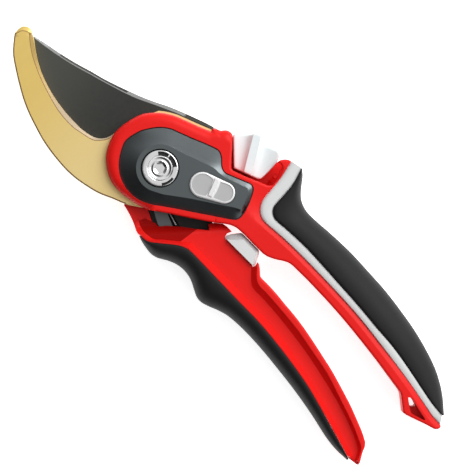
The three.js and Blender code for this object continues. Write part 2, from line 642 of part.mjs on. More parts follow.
/** The bolt, from its head in front to the nut behind. */
function pivotBolt() {
  return cut(
    join(post(BOLT_HEAD_R, boltSeat, 11.3, [0, 0], ROUND), post(SHANK_R, -9.4, boltSeat + 1, [0, 0], ROUND)),
    post(2.2, 9.4, ABOVE, [0, 0], 6),
  );
}

/** The slotted ring that locks the bolt's head. */
function pivotRing() {
  const window = (from, to, near, far) => plate([...arc(far, from, to, 6), ...arc(near, to, from, 6)], 9.6, ABOVE);
  return cut(
    post(PIVOT_RING_R, boltSeat, 11.1, [0, 0], ROUND),
    post(BOLT_HEAD_R + 0.15, BELOW, ABOVE, [0, 0], ROUND),
    window(50, 96, 5.1, 6.5),
    window(102, 142, 5.1, 6.35),
    window(-39, 7, 5.7, 6.6),
  );
}

const ringOf = (outer, inner, low, high) =>
  cut(post(outer, low, high, [0, 0], ROUND), post(inner, BELOW, ABOVE, [0, 0], ROUND));
const nut = cut(post(NUT_R, BACK + 0.3, BACK + 2.4, [0, 0], 6), post(SHANK_R + 0.1, BELOW, ABOVE, [0, 0], ROUND));

piece("pivot_bolt", pivotBolt(), STEEL);
piece("pivot_ring", pivotRing(), STEEL);
piece("pivot_nut", nut, STEEL);
piece("pivot_bushing", ringOf(BUSH_R, SHANK_R + 0.1, BACK_CHEEK_INNER + 0.1, CHEEK_INNER - 0.1), BRONZE);
piece("thrust_washer", ringOf(SPRING_HOUSE_R - 0.2, BUSH_R + 0.1, washerLow, bladeLow - 0.1), STEEL);

// ---- Head panel and width selector --------------------------------------------------------------------------

function headPanel() {
  return cut(
    join(
      plate(panelOutline, PANEL_SEAT + 0.1, PANEL_TOP, 0.3),
      plate(plateauOutline, PANEL_TOP - 0.5, PLATEAU, 0.2),
    ),
    post(PIVOT_RING_R + 0.4, BELOW, ABOVE, [0, 0], ROUND),
    slot(SELECTOR_STEM_R + 0.2, selectorFrom, selectorTo, 0, ABOVE),
  );
}

/** The button that the thumb slides, and its stem down through the panel and the front cheek. */
function selectorButton() {
  const outline = [...arc(4.8, 112, 300, 12, [15.8, 6.95]), ...arc(4.1, -60, 112, 12, [23.8, 10.65])];
  const bar = [[16.6, 11], [19.6, 12.1], [22, 6.4], [19.6, 5.5]];
  return join(
    plate(outline, PLATEAU + 0.15, PLATEAU + 1.4, 0.4),
    plate(bar, PLATEAU + 1, PLATEAU + 2, 0.3),
    post(SELECTOR_STEM_R, CHEEK_INNER + 1.35, PLATEAU + 0.5, selectorFrom),
  );
}

piece("head_panel", headPanel(), GREY_PLASTIC);
piece("opening_selector", selectorButton(), STEEL);
piece("selector_clip", post(3, CHEEK_INNER + 0.25, CHEEK_INNER + 1.05, selectorFrom, ROUND), STEEL);
piece("selector_pin", post(PIN_R, bladeLow + 0.2, CHEEK_INNER + 0.15, selectorFrom), STEEL);

// ---- Thumb lock ---------------------------------------------------------------------------------------------

/** The thumb lock's body, a neck through the pocket's floor, a foot in the T slot and the pawl. */
function thumbLock() {
  const neck = [lockFoot, along(lockFoot, 4.6, SLIDE_ANGLE)];
  const out = neck.map((p) => along(p, 3, SLIDE_ANGLE + 90));
  const deep = neck.map((p) => along(p, 4.2, SLIDE_ANGLE - 90));
  const lip = neck.map((p) => along(p, 2.4, SLIDE_ANGLE - 90));
  return join(
    plate(lockOutline, -LOCK_HALF, LOCK_HALF, 0.4),
    plate([...out, ...reversed(deep)], -1.3, 1.3),
    plate([...lip, ...reversed(deep)], -3.3, 3.3),
    slot(0.9, pawlTip, pawlRoot, -1.3, 1.3),
  );
}

piece("thumb_lock", thumbLock(), WHITE_PLASTIC);

drawing.updateMatrixWorld(true);
export default shears;
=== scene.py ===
"""Bypass pruning shears, closed and locked, lying on their back on a pale floor.

Shapes are drawn in millimetres in the drawing frame: the pivot axis is x = y = 0, +X runs along the
handles, +Y to the thumb side, +Z to the front, and z = 0 is the middle of the handles' depth.
"""

import json
import math

import bpy
import numpy as np
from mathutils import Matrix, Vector, geometry


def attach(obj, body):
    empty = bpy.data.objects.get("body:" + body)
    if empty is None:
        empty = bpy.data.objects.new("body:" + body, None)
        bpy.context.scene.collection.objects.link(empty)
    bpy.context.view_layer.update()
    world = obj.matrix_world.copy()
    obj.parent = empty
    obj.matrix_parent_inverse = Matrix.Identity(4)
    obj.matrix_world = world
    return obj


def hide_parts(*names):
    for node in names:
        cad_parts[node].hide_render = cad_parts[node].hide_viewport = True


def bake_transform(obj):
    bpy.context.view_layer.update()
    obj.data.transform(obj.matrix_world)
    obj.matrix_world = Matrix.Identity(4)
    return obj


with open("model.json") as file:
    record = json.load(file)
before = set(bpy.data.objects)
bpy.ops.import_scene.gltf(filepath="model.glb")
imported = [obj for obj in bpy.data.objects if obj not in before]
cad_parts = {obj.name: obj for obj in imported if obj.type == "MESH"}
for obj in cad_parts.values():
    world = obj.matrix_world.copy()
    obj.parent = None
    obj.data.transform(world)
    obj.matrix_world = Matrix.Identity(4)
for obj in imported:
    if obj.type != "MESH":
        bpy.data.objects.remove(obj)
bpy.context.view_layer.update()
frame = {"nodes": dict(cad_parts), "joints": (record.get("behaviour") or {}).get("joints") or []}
PIVOT = np.array(next(j for j in frame["joints"] if j["name"] == "handle_pivot")["pos_m"])

UPPER = "upper_handle"
LOWER = "lower_handle"
SELECTOR = "width_selector"
LOCK = "lock_slider"

# ---- Lines in the drawing frame ----


def smooth(*points, step=0.7):
    """A smooth curve through the points, as an array of points about `step` apart."""
    p = np.array(points, float)
    p = np.vstack([2 * p[0] - p[1], p, 2 * p[-1] - p[-2]])
    out = []
    for a, b, c, d in zip(p[:-3], p[1:-2], p[2:-1], p[3:]):
        count = max(2, int(np.ceil(np.linalg.norm(c - b) / step)))
        t = np.linspace(0, 1, count, endpoint=False)[:, None]
        cubic = 3 * b - a - 3 * c + d
        square = 2 * a - 5 * b + 4 * c - d
        out.append(b + 0.5 * ((c - a) * t + square * t**2 + cubic * t**3))
    return np.vstack([*out, p[-2:-1]])


def arc(radius, start, end, centre=(0, 0)):
    """Points of an arc, angles in degrees."""
    count = max(2, int(abs(end - start) / 5.0) + 1)
    a = np.radians(np.linspace(start, end, count))
    return np.column_stack([centre[0] + radius * np.cos(a), centre[1] + radius * np.sin(a)])


def circle(radius, centre=(0, 0), sides=48, turn=0.0):
    """A closed loop: a circle, or a regular polygon when it has few sides."""
    a = np.radians(turn + np.arange(sides) * 360 / sides)
    return np.column_stack([centre[0] + radius * np.cos(a), centre[1] + radius * np.sin(a)])


def chain(*parts, closed=False, step=0.8):
    """Joins points and curves into one line with no stretch longer than `step` and no point twice."""
    p = np.vstack([np.atleast_2d(np.array(q, float)) for q in parts])
    if closed:
        p = np.vstack([p, p[:1]])
    out = [p[0]]
    for a, b in zip(p[:-1], p[1:]):
        length = np.linalg.norm(b - a)
        if length < 0.03:
            continue
        count = int(np.ceil(length / step))
        out.extend(a + (b - a) * i / count for i in range(1, count + 1))
    out = np.array(out)
    return out[:-1] if closed else out


def distance(p, line, closed=False):
    """How far each point of p is from the line."""
    a, b = (line, np.roll(line, -1, axis=0)) if closed else (line[:-1], line[1:])
    ab = b - a
    size = np.maximum((ab**2).sum(1), 1e-12)
    best = np.empty(len(p))
    for start in range(0, len(p), 3000):
        q = p[start : start + 3000, None, :2]
        t = np.clip(((q - a) * ab).sum(2) / size, 0, 1)
        best[start : start + 3000] = np.sqrt(((q - a - t[..., None] * ab) ** 2).sum(2).min(1))
    return best


def inside(p, polygon):
    """Whether each point of p lies in the polygon."""
    result = np.zeros(len(p), bool)
    for (ax, ay), (bx, by) in zip(polygon, np.roll(polygon, -1, axis=0)):
        if ay != by:
            crosses = (ay > p[:, 1]) != (by > p[:, 1])
            result ^= crosses & (p[:, 0] < (bx - ax) * (p[:, 1] - ay) / (by - ay) + ax)
    return result


def signed_area(polygon):
    x, y = polygon.T
    return 0.5 * float(np.dot(x, np.roll(y, -1)) - np.dot(y, np.roll(x, -1)))


def moved(line, by, closed=False):
    """The line moved to its left by `by`, or to its right when that is negative."""
    if closed:
        tangent = np.roll(line, -1, axis=0) - np.roll(line, 1, axis=0)
    else:
        tangent = np.gradient(line, axis=0)
    tangent = tangent / np.maximum(np.linalg.norm(tangent, axis=1), 1e-9)[:, None]
    return line + by * np.column_stack([-tangent[:, 1], tangent[:, 0]])


def grown(loop, by):
    """The closed loop grown on all sides, or shrunk when `by` is negative."""
    return moved(loop, -by if signed_area(loop) > 0 else by, True)


def resampled(line, count):
    """The line as `count` points at equal steps."""
    run = np.concatenate([[0], np.cumsum(np.linalg.norm(np.diff(line, axis=0), axis=1))])
    at = np.linspace(0, run[-1], count)
    return np.column_stack([np.interp(at, run, line[:, i]) for i in range(line.shape[1])])


def looped(loop):
    """A closed loop as a line that ends where it starts."""
    return np.vstack([loop, loop[:1]])


# Half the width, in plan, of the steep wall at a step in height.
STEP = 0.03


def step_lines(*loops):
    """Two close lines for each loop, so that a height can change there in a steep wall."""
    return [looped(grown(loop, by)) for loop in loops for by in (-STEP, STEP)]


# ---- Heights ----


def rounding(d, radius):
    """How far a rounded edge drops at distance d from it."""
    reach = np.clip(radius - d, 0, radius)
    return radius - np.sqrt(np.maximum(radius**2 - reach**2, 0))


def rounding_steps(*radii):
    """Distances from the edge at which rounded edges need points."""
    steps = sorted(radius * (1 - math.cos(math.radians(a))) for radius in radii for a in (30, 50, 70, 90))
    return [d for i, d in enumerate(steps) if i == 0 or d - steps[i - 1] > 0.05]


def between(p, edge, crease):
    """0 at the crease and beyond it, rising to 1 at the edge, for points between the two lines."""
    near_edge = distance(p, edge)
    near_crease = distance(p, crease)
    share = near_crease / np.maximum(near_crease + near_edge, 1e-9)
    touching = (near_edge < 0.04) | (near_crease < 0.04)
    return np.where(inside(p, np.vstack([edge, crease[::-1]])) | touching, share, 0.0)


def rise(p, foot, crest):
    """1 inside the closed crest, falling to 0 at the closed foot round it."""
    near_foot = distance(p, foot, True)
    near_crest = distance(p, crest, True)
    share = near_foot / np.maximum(near_foot + near_crest, 1e-9)
    return np.where(inside(p, crest), 1.0, np.where(inside(p, foot), share, 0.0))


def ease(value, low, high):
    t = np.clip((value - low) / (high - low), 0, 1)
    return t * t * (3 - 2 * t)


def level(z):
    """A flat face at the height z."""
    return lambda p: np.full(len(p), float(z))


# ---- Meshes ----


def sharpened(mesh, points, creases):
    """Marks the mesh's edges along the given lines as sharp."""
    ends = np.empty(len(mesh.edges) * 2, int)
    mesh.edges.foreach_get("vertices", ends)
    a, b = points[ends.reshape(-1, 2).T]
    for line in creases:
        on_line = np.maximum(distance(a, line), distance(b, line)) < 0.02
        on_line[on_line] = distance((a[on_line] + b[on_line]) / 2, line) < 0.02
        for index in np.flatnonzero(on_line):
            mesh.edges[index].use_edge_sharp = True


def add_piece(
    name, points, faces, material, body, replaces=(), slot=None, sharp=32, patches=(), creases=(),
):
    """Makes a mesh of points in the drawing frame and lets it ride on a CAD body.

    Edges that bend by more than `sharp` degrees are sharp, and so are the creases. Each patch is a second
    material and a test that says which faces take it, from the faces' centres.
    """
    mesh = bpy.data.meshes.new(name)
    world = np.asarray(points, float) * 0.001 + PIVOT
    mesh.from_pydata(world.tolist(), [], [list(map(int, f)) for f in faces])
    mesh.validate()
    mesh.shade_smooth()
    mesh.set_sharp_from_angle(angle=math.radians(sharp))
    sharpened(mesh, np.asarray(points, float), creases)
    mesh.materials.append(material)
    centres = np.empty(len(mesh.polygons) * 3)
    mesh.polygons.foreach_get("center", centres)
    centres = (centres.reshape(-1, 3) - PIVOT) * 1000
    index = np.zeros(len(centres), int)
    for number, (patch, test) in enumerate(patches, 1):
        mesh.materials.append(patch)
        index[test(centres)] = number
    mesh.polygons.foreach_set("material_index", index)
    piece = bpy.data.objects.new(name, mesh)
    bpy.context.scene.collection.objects.link(piece)
    if body:
        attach(piece, body)
    if replaces:
        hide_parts(*replaces)
    return piece


def triangulated(outline, holes, lines, rings, spacing):
    """Points and triangles that fill an outline.

    Extra points lie along rings near the edges, along the given lines, and on a grid of triangles.
    """
    loops = [outline, *holes]
    points = []
    edges = []
    for line in [*map(looped, loops), *lines]:
        first = sum(map(len, points))
        points.append(line)
        edges += [(first + i, first + i + 1) for i in range(len(line) - 1)]

    def kept(p, margin, from_lines):
        keep = inside(p, outline)
        for hole in holes:
            keep &= ~inside(p, hole)
        for loop in loops:
            keep &= distance(p, loop, True) > margin
        for line in lines:
            keep &= distance(p, line) > from_lines
        return p[keep]

    for loop in loops:
        for by in rings:
            # Where the outline turns in, a ring comes too close to it, and those points are dropped.
            ring = grown(loop, -by if loop is outline else by)
            points.append(kept(ring, by * 0.985, 0.12))
    low, high = outline.min(0), outline.max(0)
    # The rows of triangles with equal sides are 0.866 sides apart.
    rows = np.arange(low[1], high[1], spacing * 0.866)
    columns = np.arange(low[0], high[0], spacing)
    grid = np.array([(x + (i % 2) * spacing / 2, y) for i, y in enumerate(rows) for x in columns])
    clear = 0.45 * spacing
    points.append(kept(grid, max([*rings, 0]) + clear, clear))
    flat = [Vector(q) for q in np.vstack(points).tolist()]
    out, _, faces, *_ = geometry.delaunay_2d_cdt(flat, edges, [], 0, 1e-4)
    out = np.array([tuple(v) for v in out])
    faces = np.array([f for f in faces if len(f) == 3])
    middle = out[faces].mean(1)
    keep = inside(middle, outline)
    for hole in holes:
        keep &= ~inside(middle, hole)
    return out, faces[keep]


def relief(name, outline, top, bottom, material, body, holes=(), lines=(), rings=(), spacing=1.0, **more):
    """A plate with the given outline whose front and back faces follow the heights top(p) and bottom(p)."""
    flat, faces = triangulated(outline, holes, lines, rings, spacing)
    used, faces = np.unique(faces, return_inverse=True)
    flat, faces = flat[used], faces.reshape(-1, 3)
    a, b, c = (flat[faces[:, i]] for i in range(3))
    turn = (b[:, 0] - a[:, 0]) * (c[:, 1] - a[:, 1]) - (b[:, 1] - a[:, 1]) * (c[:, 0] - a[:, 0])
    faces = np.where(turn[:, None] > 0, faces, faces[:, ::-1])
    count = len(flat)
    points = np.vstack([np.column_stack([flat, top(flat)]), np.column_stack([flat, bottom(flat)])])
    sides = {}
    for f in faces.tolist():
        for edge in zip(f, f[1:] + f[:1]):
            if edge[::-1] in sides:
                del sides[edge[::-1]]
            else:
                sides[edge] = True
    walls = [(b, a, a + count, b + count) for a, b in sides]
    back = (faces[:, ::-1] + count).tolist()
    return add_piece(name, points, [*faces.tolist(), *back, *walls], material, body, **more)


def outward(points, faces):
    """The faces turned so that the closed mesh faces out."""
    fan = [(f[0], f[i], f[i + 1]) for f in faces for i in range(1, len(f) - 1)]
    a, b, c = np.moveaxis(points[np.array(fan)], 1, 0)
    volume = np.einsum("ij,ij->", a, np.cross(b, c))
    return faces if volume > 0 else [f[::-1] for f in faces]


def skinned(name, sections, material, body, **more):
    """A closed skin over cross-sections that all have the same number of points."""
    points = np.vstack(sections)
    ring = len(sections[0])
    faces = []
    for start in range(0, len(points) - ring, ring):
        for j in range(ring):
            p, q = start + j, start + (j + 1) % ring
            faces.append((p, q, q + ring, p + ring))
    faces.append(tuple(range(ring))[::-1])
    faces.append(tuple(range(len(points) - ring, len(points))))
    return add_piece(name, points, outward(points, faces), material, body, **more)


def ruled(name, edge_a, edge_b, section, half_depth, material, body, **more):
    """A long piece between two edges.

    Its section is a list of (across, up) points, with across 0 on edge a and 1 on edge b, and up 1 at the
    half depth.
    """
    across, up = np.array(section).T
    sections = []
    for a, b in zip(resampled(edge_a, 150), resampled(edge_b, 150)):
        flat = a + (b - a) * across[:, None]
        sections.append(np.column_stack([flat, up * half_depth(flat[:, 0])]))
    return skinned(name, sections, material, body, **more)


def tube(name, path, radius, material, body, **more):
    """A bar of round section along a path of 3-D points."""
    path = np.array(path, float)
    tangent = np.gradient(path, axis=0)
    tangent /= np.linalg.norm(tangent, axis=1)[:, None]
    side = np.cross(tangent[0], (0, 0, 1.0) if abs(tangent[0][2]) < 0.9 else (0, 1.0, 0))
    turns = np.radians(np.arange(12) * 360 / 12)
    sections = []
    for at, along in zip(path, tangent):
        side = side - along * np.dot(side, along)
        side /= np.linalg.norm(side)
        other = np.cross(along, side)
        sections.append(at + radius * (np.cos(turns)[:, None] * side + np.sin(turns)[:, None] * other))
    return skinned(name, sections, material, body, sharp=60, **more)


# ---- Materials ----


def material(
    name, color, roughness, metallic=0.0, grain=(0.9, 0.02), vary=0.05, rough_vary=0.07,
    stretch=(1, 1, 1), fade=None, **sockets,
):
    """A shader whose colour, roughness and surface vary a little.

    grain is (size, depth) in millimetres; fade is (colour, start x, end x), a slow change along the piece in
    the drawing frame.
    """
    made = bpy.data.materials.new(name)
    made.use_nodes = True
    nodes, links = made.node_tree.nodes, made.node_tree.links
    shader = nodes["Principled BSDF"]
    shader.inputs["Metallic"].default_value = metallic
    for key, value in sockets.items():
        shader.inputs[key.replace("_", " ")].default_value = value
    place = nodes.new("ShaderNodeTexCoord")
    turned = nodes.new("ShaderNodeMapping")
    turned.inputs["Rotation"].default_value = (0, 0, math.radians(-45))
    turned.inputs["Scale"].default_value = stretch
    links.new(place.outputs["Object"], turned.inputs["Vector"])

    def noise(size, detail):
        made_noise = nodes.new("ShaderNodeTexNoise")
        made_noise.inputs["Scale"].default_value = 1000 / size
        made_noise.inputs["Detail"].default_value = detail
        links.new(turned.outputs["Vector"], made_noise.inputs["Vector"])
        return made_noise.outputs["Fac"]

    def mixed(a, b, factor):
        mix = nodes.new("ShaderNodeMix")
        mix.data_type = "RGBA"
        mix.inputs["B"].default_value = (*b, 1)
        if isinstance(a, tuple):
            mix.inputs["A"].default_value = (*a, 1)
        else:
            links.new(a, mix.inputs["A"])
        links.new(factor, mix.inputs["Factor"])
        return mix.outputs["Result"]

    fine = noise(grain[0], 3)
    darker = tuple(c * (1 - vary) for c in color)
    lighter = tuple(min(1, c * (1 + vary)) for c in color)
    shade = mixed(darker, lighter, noise(14, 4))
    if fade:
        split = nodes.new("ShaderNodeSeparateXYZ")
        along = nodes.new("ShaderNodeMapRange")
        along.interpolation_type = "SMOOTHSTEP"
        along.inputs["From Min"].default_value = PIVOT[0] + fade[1] / 1000
        along.inputs["From Max"].default_value = PIVOT[0] + fade[2] / 1000
        links.new(place.outputs["Object"], split.inputs["Vector"])
        links.new(split.outputs["X"], along.inputs["Value"])
        shade = mixed(shade, fade[0], along.outputs["Result"])
    speckle = mixed(shade, tuple(c * (1 - 2.5 * vary) for c in color), fine)
    dull = nodes.new("ShaderNodeMix")
    dull.data_type = "RGBA"
    dull.inputs["Factor"].default_value = 0.35
    links.new(shade, dull.inputs["A"])
    links.new(speckle, dull.inputs["B"])
    links.new(dull.outputs["Result"], shader.inputs["Base Color"])
    rough = nodes.new("ShaderNodeMapRange")
    rough.inputs["To Min"].default_value = max(0.02, roughness - rough_vary)
    rough.inputs["To Max"].default_value = min(1, roughness + rough_vary)
    links.new(fine, rough.inputs["Value"])
    links.new(rough.outputs["Result"], shader.inputs["Roughness"])
    bump = nodes.new("ShaderNodeBump")
    bump.inputs["Distance"].default_value = grain[1] / 1000
    links.new(fine, bump.inputs["Height"])
    links.new(bump.outputs["Normal"], shader.inputs["Normal"])
    return made


red = material("red_paint", (0.78, 0.012, 0.01), 0.38, grain=(1.4, 0.002), Specular_IOR_Level=0.15)
# A darker copy of the red paint for the pocket under the head: painted shade.
red_painted_shade = material("red_painted_pocket_shade", (0.32, 0.003, 0.002), 0.5, grain=(1.4, 0.002), Specular_IOR_Level=0.05)
rubber = material(
    "grip_rubber", (0.01, 0.01, 0.01), 0.6, grain=(0.5, 0.01), vary=0.12, Specular_IOR_Level=0.22,
)
white = material("white_plastic", (0.68, 0.69, 0.685), 0.45, grain=(0.6, 0.005), vary=0.04)
lock_white = material(
    "lock_plastic", (0.75, 0.82, 0.83), 0.3, grain=(1.2, 0.001), vary=0.02, Specular_IOR_Level=0.6,
)
slate = material("panel_plastic", (0.125, 0.14, 0.145), 0.33, metallic=1, grain=(0.5, 0.002))
# Black nylon for the knuckle; also put in the panel's groove, round the pivot ring and in the ring's windows
# as painted shade.
nylon_and_painted_shade = material("black_nylon", (0.012, 0.012, 0.013), 0.5, grain=(0.5, 0.005))
gold = material(
    "gold_coat", (0.78, 0.555, 0.158), 0.42, metallic=0.35, grain=(1.2, 0.002), stretch=(5, 1, 1),
    fade=((0.84, 0.66, 0.3), -60, -15),
)
# Darker gold on the hook's bevel, growing lighter towards the head: painted shade.
gold_bevel_painted_shade = material(
    "gold_bevel_painted_shade", (0.36, 0.235, 0.06), 0.4, metallic=0.35, grain=(1, 0.002),
    fade=((0.54, 0.43, 0.3), -62, -36),
)
# Dark gold for the hook's outer chamfer and the lines at its creases: painted shade.
gold_edge_painted_shade = material("gold_edge_painted_shade", (0.3, 0.17, 0.055), 0.45, metallic=0.35, grain=(1, 0.002))
# The blade's dark coating. Its fade darkens it towards the head: a painted shadow of the head.
dark_coat = material(
    "dark_coat", (0.052, 0.054, 0.046), 0.4, grain=(1.2, 0.0015), Specular_IOR_Level=0.4,
    fade=((0.014, 0.014, 0.012), -62, -25),
)
ground = material(
    "ground_steel", (0.42, 0.43, 0.43), 0.3, metallic=0.9, grain=(0.6, 0.002), stretch=(1, 7, 1),
)
bright_spine = material(
    "bright_spine", (0.27, 0.275, 0.27), 0.35, metallic=0.8, grain=(0.6, 0.002), stretch=(1, 7, 1),
)
# Darker steel for the blade where it shows through the window under the head: painted shade.
steel_painted_shade = material("steel_painted_shade", (0.13, 0.135, 0.14), 0.35, metallic=0.8, grain=(0.6, 0.002))
chrome = material("chrome", (0.86, 0.86, 0.87), 0.12, metallic=1, grain=(0.8, 0.002), rough_vary=0.04)
satin = material("satin_metal", (0.85, 0.85, 0.86), 0.3, metallic=0.4, grain=(0.6, 0.002), vary=0.02)
# Grey for the selector's sunk pads; also put on the bumper's upper chamfers as painted shade.
pad_and_painted_shade = material("selector_pad_and_painted_shade", (0.45, 0.45, 0.455), 0.45, grain=(0.5, 0.006), vary=0.06)
steel = material("steel", (0.5, 0.51, 0.52), 0.3, metallic=1, grain=(0.6, 0.004))
bronze = material("bronze", (0.5, 0.3, 0.11), 0.35, metallic=1, grain=(0.6, 0.004))

# ---- Heights that pieces share ----

# Where a handle's front shell meets its back shell, and the gap left on each side of it.
PARTING = 1.5
GAP = 0.1
# The inner faces of the head's two cheeks.
CHEEK_INNER = 5.7
BACK_CHEEK_INNER = -6.7
HEAD_TOP = 10.0
# Half the depth of the handles' red bars.
BAR_HALF = 8.5
PANEL_SEAT = 8.2
PLATEAU = 10.9
# The room that the turning blade needs between the cheeks, and the blade's own ring, from the pivot.
SWEEP = 25.9
RING_R = 15.5
HOOK_LOW, HOOK_HIGH = 1.6, 5.5
BLADE_LOW, BLADE_HIGH = -1.5, 1.4
KNUCKLE_LOW, KNUCKLE_HIGH = -6.5, -1.7
# Radii of the bolt's hole in both blades and of the screws' holes in the back shells.
BOLT_HOLE_R = 5.1
SCREW_HOLE_R = 1.85
# Radii of the handles' rounded edges and of the head's rounder edge.
EDGE_R = 0.7
CHEEK_R = 3.2

# The screws' places, and the two ends of the slot that the selector's pin slides in.
upper_screws = [(30.4, 11.6), (56.4, 10.9), (88, 11.6), (118, 8)]
lower_screws = [(56, -9.2), (80, -10.6), (104, -14.7), (121, -20.3)]
SELECTOR_FROM = (15.6, 7.1)
SELECTOR_TO = (18.3, 8.4)


def slot_loop(radius, a, b):
    """A closed slot with round ends about two points."""
    turn = math.degrees(math.atan2(b[1] - a[1], b[0] - a[0]))
    return np.vstack([arc(radius, turn + 90, turn + 270, a), arc(radius, turn - 90, turn + 90, b)])


# ---- Seams and edges ----

trim_inner = smooth(
    (33.4, 37.2), (34, 34), (34.75, 30.7), (35.3, 27.5), (35.6, 24), (35.8, 21), (36.4, 18), (38.2, 15.3),
    (40.6, 13.9), (43.5, 13.6), (50, 14.1), (60, 14.4), (72, 14.3), (85, 13.9), (95, 13.2), (105, 12),
    (115, 10.7), (125, 9.2), (135, 7.4), (140, 6.5), (144.2, 6.4),
)
trim_outer = smooth(
    (37.9, 38.1), (38.8, 35.2), (39.6, 32.6), (40.1, 29), (40.3, 25), (40.6, 21), (41.5, 18.9),
    (43, 17.7), (45, 17.1), (50, 17.5), (60, 17.9), (70, 17.5), (80, 16.9), (90, 16.3), (100, 15.4),
    (110, 14.6), (120, 13), (130, 11), (136, 9.9), (142.3, 9.3),
)
upper_grip_edge = smooth(
    (38.6, 37.8), (40.4, 36.4), (43.4, 32.6), (46.1, 29.9), (48.9, 28.5), (52, 27.9), (57, 28), (64, 28.5),
    (74, 28.8), (84, 28.4), (94, 27.8), (104, 26.5), (113, 24.9), (121, 22.8), (128, 20.4), (133.7, 17.5),
    (138.5, 14.2), (143, 10.2),
)
lower_seam = smooth(
    (12.9, -23.4), (14.8, -23.3), (17, -22.5), (20, -20.2), (25, -16.2), (28, -14.6), (31, -14.1),
    (42, -14.3), (55, -14.6), (68, -14.8), (78, -15.7), (88, -17), (98, -18.8), (108, -21.4),
    (118, -24.3), (128.6, -27.4),
)
lower_grip_edge = smooth(
    (12.2, -23.9), (14.2, -24.7), (16.8, -25.3), (20.2, -25.7), (23.2, -25), (26.7, -23), (30.2, -21.6),
    (34, -21.2), (37.9, -21.9), (41.8, -23.8), (44.4, -25), (47, -25.2), (50.1, -24.3), (54.2, -22.7),
    (58.6, -21.6), (66, -21.2), (76, -21.6), (88, -22.8), (98, -24.1), (108, -25.9), (117, -27.9),
    (123, -28.6), (128.9, -28.4),
)
cheek_edge = smooth(
    (3.6, 23.6), (0, 22.1), (-2.5, 21.1), (-7.3, 19.3), (-10.2, 18.1), (-12.8, 16.6), (-15.1, 14.9),
    (-17.3, 12.7), (-18.9, 10.7), (-20.1, 8.4), (-21, 5.5), (-21.6, 2.6), (-21.9, 0), (-21.9, -2.4),
    (-21.5, -4.6), (-20.3, -7.7), (-19, -10), (-17.5, -11.9), (-15.4, -13.7), (-13.1, -15.3),
    (-10.2, -16.6), (-7.6, -17.1), (-4.6, -17.2), (-1, -16.8), (3.5, -15.9), (7.5, -14.6),
)
bar_inner = chain(
    smooth((10.5, -12.5), (15, -9.4), (20, -6.2), (25, -2.8), (29, -0.1)),
    smooth((31.6, 2), (33.8, 3.5), (36.4, 4.5), (40, 4.8)), (45, 4.7), (50.5, 4.7),
    smooth((52.5, 5.1), (55.2, 6.4), (58.2, 8.3), (60.2, 9.2), (62, 9.5)),
    smooth((70, 9.6), (80, 9.3), (90, 8.7), (100, 7.7), (110, 6.5), (118, 5.3), (124.6, 4.3)),
    smooth((125.8, 3.7), (128, 2), (130.2, 0.2)), (131, -0.4),
    smooth((132.4, -0.2), (136, 1), (140, 2.4), (143.8, 3.5)),
    smooth((144.6, 4.1), (145.2, 5.2), (144.9, 6.2)),
)
shoulder = smooth((10.6, 28.3), (9.6, 28.7), (8, 28.4), (6.8, 27.4), (5.8, 26.3), (3.6, 25.5))
pocket = chain(
    smooth((32.9, 37), (32.2, 36.8), (31, 35.9), (30, 34.4), (29.8, 33.1)),
    smooth((31, 33.6), (32.3, 33.3), (33.6, 31.6), (34.4, 28.5), (34.6, 25.4)),
    (33.5, 24.2), (25, 20.6), (20.2, 18.9), (19.2, 18.9), (18.6, 19.3), (10.6, 28.3),
)
bar_outer = moved(trim_inner, -0.04)[::-1]
upper_front = chain(cheek_edge, bar_inner, bar_outer, pocket, shoulder, closed=True)
horn_back = smooth((32.3, 36.9), (30, 34), (27, 31.5), (20, 29.2), (10.8, 28.3))
upper_back = chain(cheek_edge, bar_inner, bar_outer, horn_back, shoulder, closed=True)

# ---- Blades ----

hook_outer = smooth(
    (-75.8, -2.9), (-73, -6.4), (-70, -9.4), (-65, -12.8), (-60.1, -15.8), (-55.2, -18.5),
    (-50.1, -20.7), (-45, -22.4), (-40, -23.9), (-35, -24.9), (-30, -25.5), (-25, -25.8), (-20, -25.5),
    (-15, -24.6), (-10, -23.3), (-5, -21.1), (0.3, -18.9), (5.1, -15.8),
)
hook_tip = smooth(
    (-71.4, 1.9), (-72.6, 2.6), (-74.2, 2.3), (-75.5, 1.1), (-75.9, -0.5), (-75.8, -2.9), step=0.3,
)
hook_inner = smooth(
    (-22, -2.7), (-22.3, -4.7), (-23.2, -6.8), (-24.8, -8.5), (-27.4, -9.8), (-31.6, -10.6),
    (-35, -10.7), (-40, -10.5), (-45, -9.9), (-50, -8.9), (-55, -7.4), (-60, -5.3), (-65, -2.3),
    (-69.6, 1), (-71.4, 1.9),
)
hook_bevel = smooth(
    (-21.6, -4.6), (-22.5, -6.8), (-24.4, -9.3), (-26.6, -10.7), (-31.8, -11.9), (-35, -12.4), (-40, -12.3),
    (-45, -11.5), (-50, -10.1), (-55, -8.5), (-60, -6.5), (-65, -4), (-68.9, -1.3), (-71.6, 1.1),
)
hook_tip_line = smooth((-71.9, 1.2), (-73, 0.9), (-74.6, -0.4), (-75.3, -2.6), step=0.3)
hook_lip = moved(cheek_edge, -0.75)
hook_lip = hook_lip[(hook_lip[:, 0] > -16.4) & (hook_lip[:, 1] > 0)]
hook_outline = chain(
    hook_tip, hook_outer,
    [(12, -11), (27, -1), (37, 6.4), (49.8, 6.4), (49.8, 11.4), (39, 11.4), (33, 15.2), (20.2, 15.2)],
    [(13, 21.4), (5, 23.3)], hook_lip,
    smooth((-16.9, 13.2), (-17.4, 10.5), (-19.5, 5), (-21.2, 0), (-22, -2.7)), hook_inner, closed=True,
)
bevel_lines = [moved(line, by)[1:-1] for line in (hook_bevel, hook_tip_line) for by in (-0.16, 0.16)]


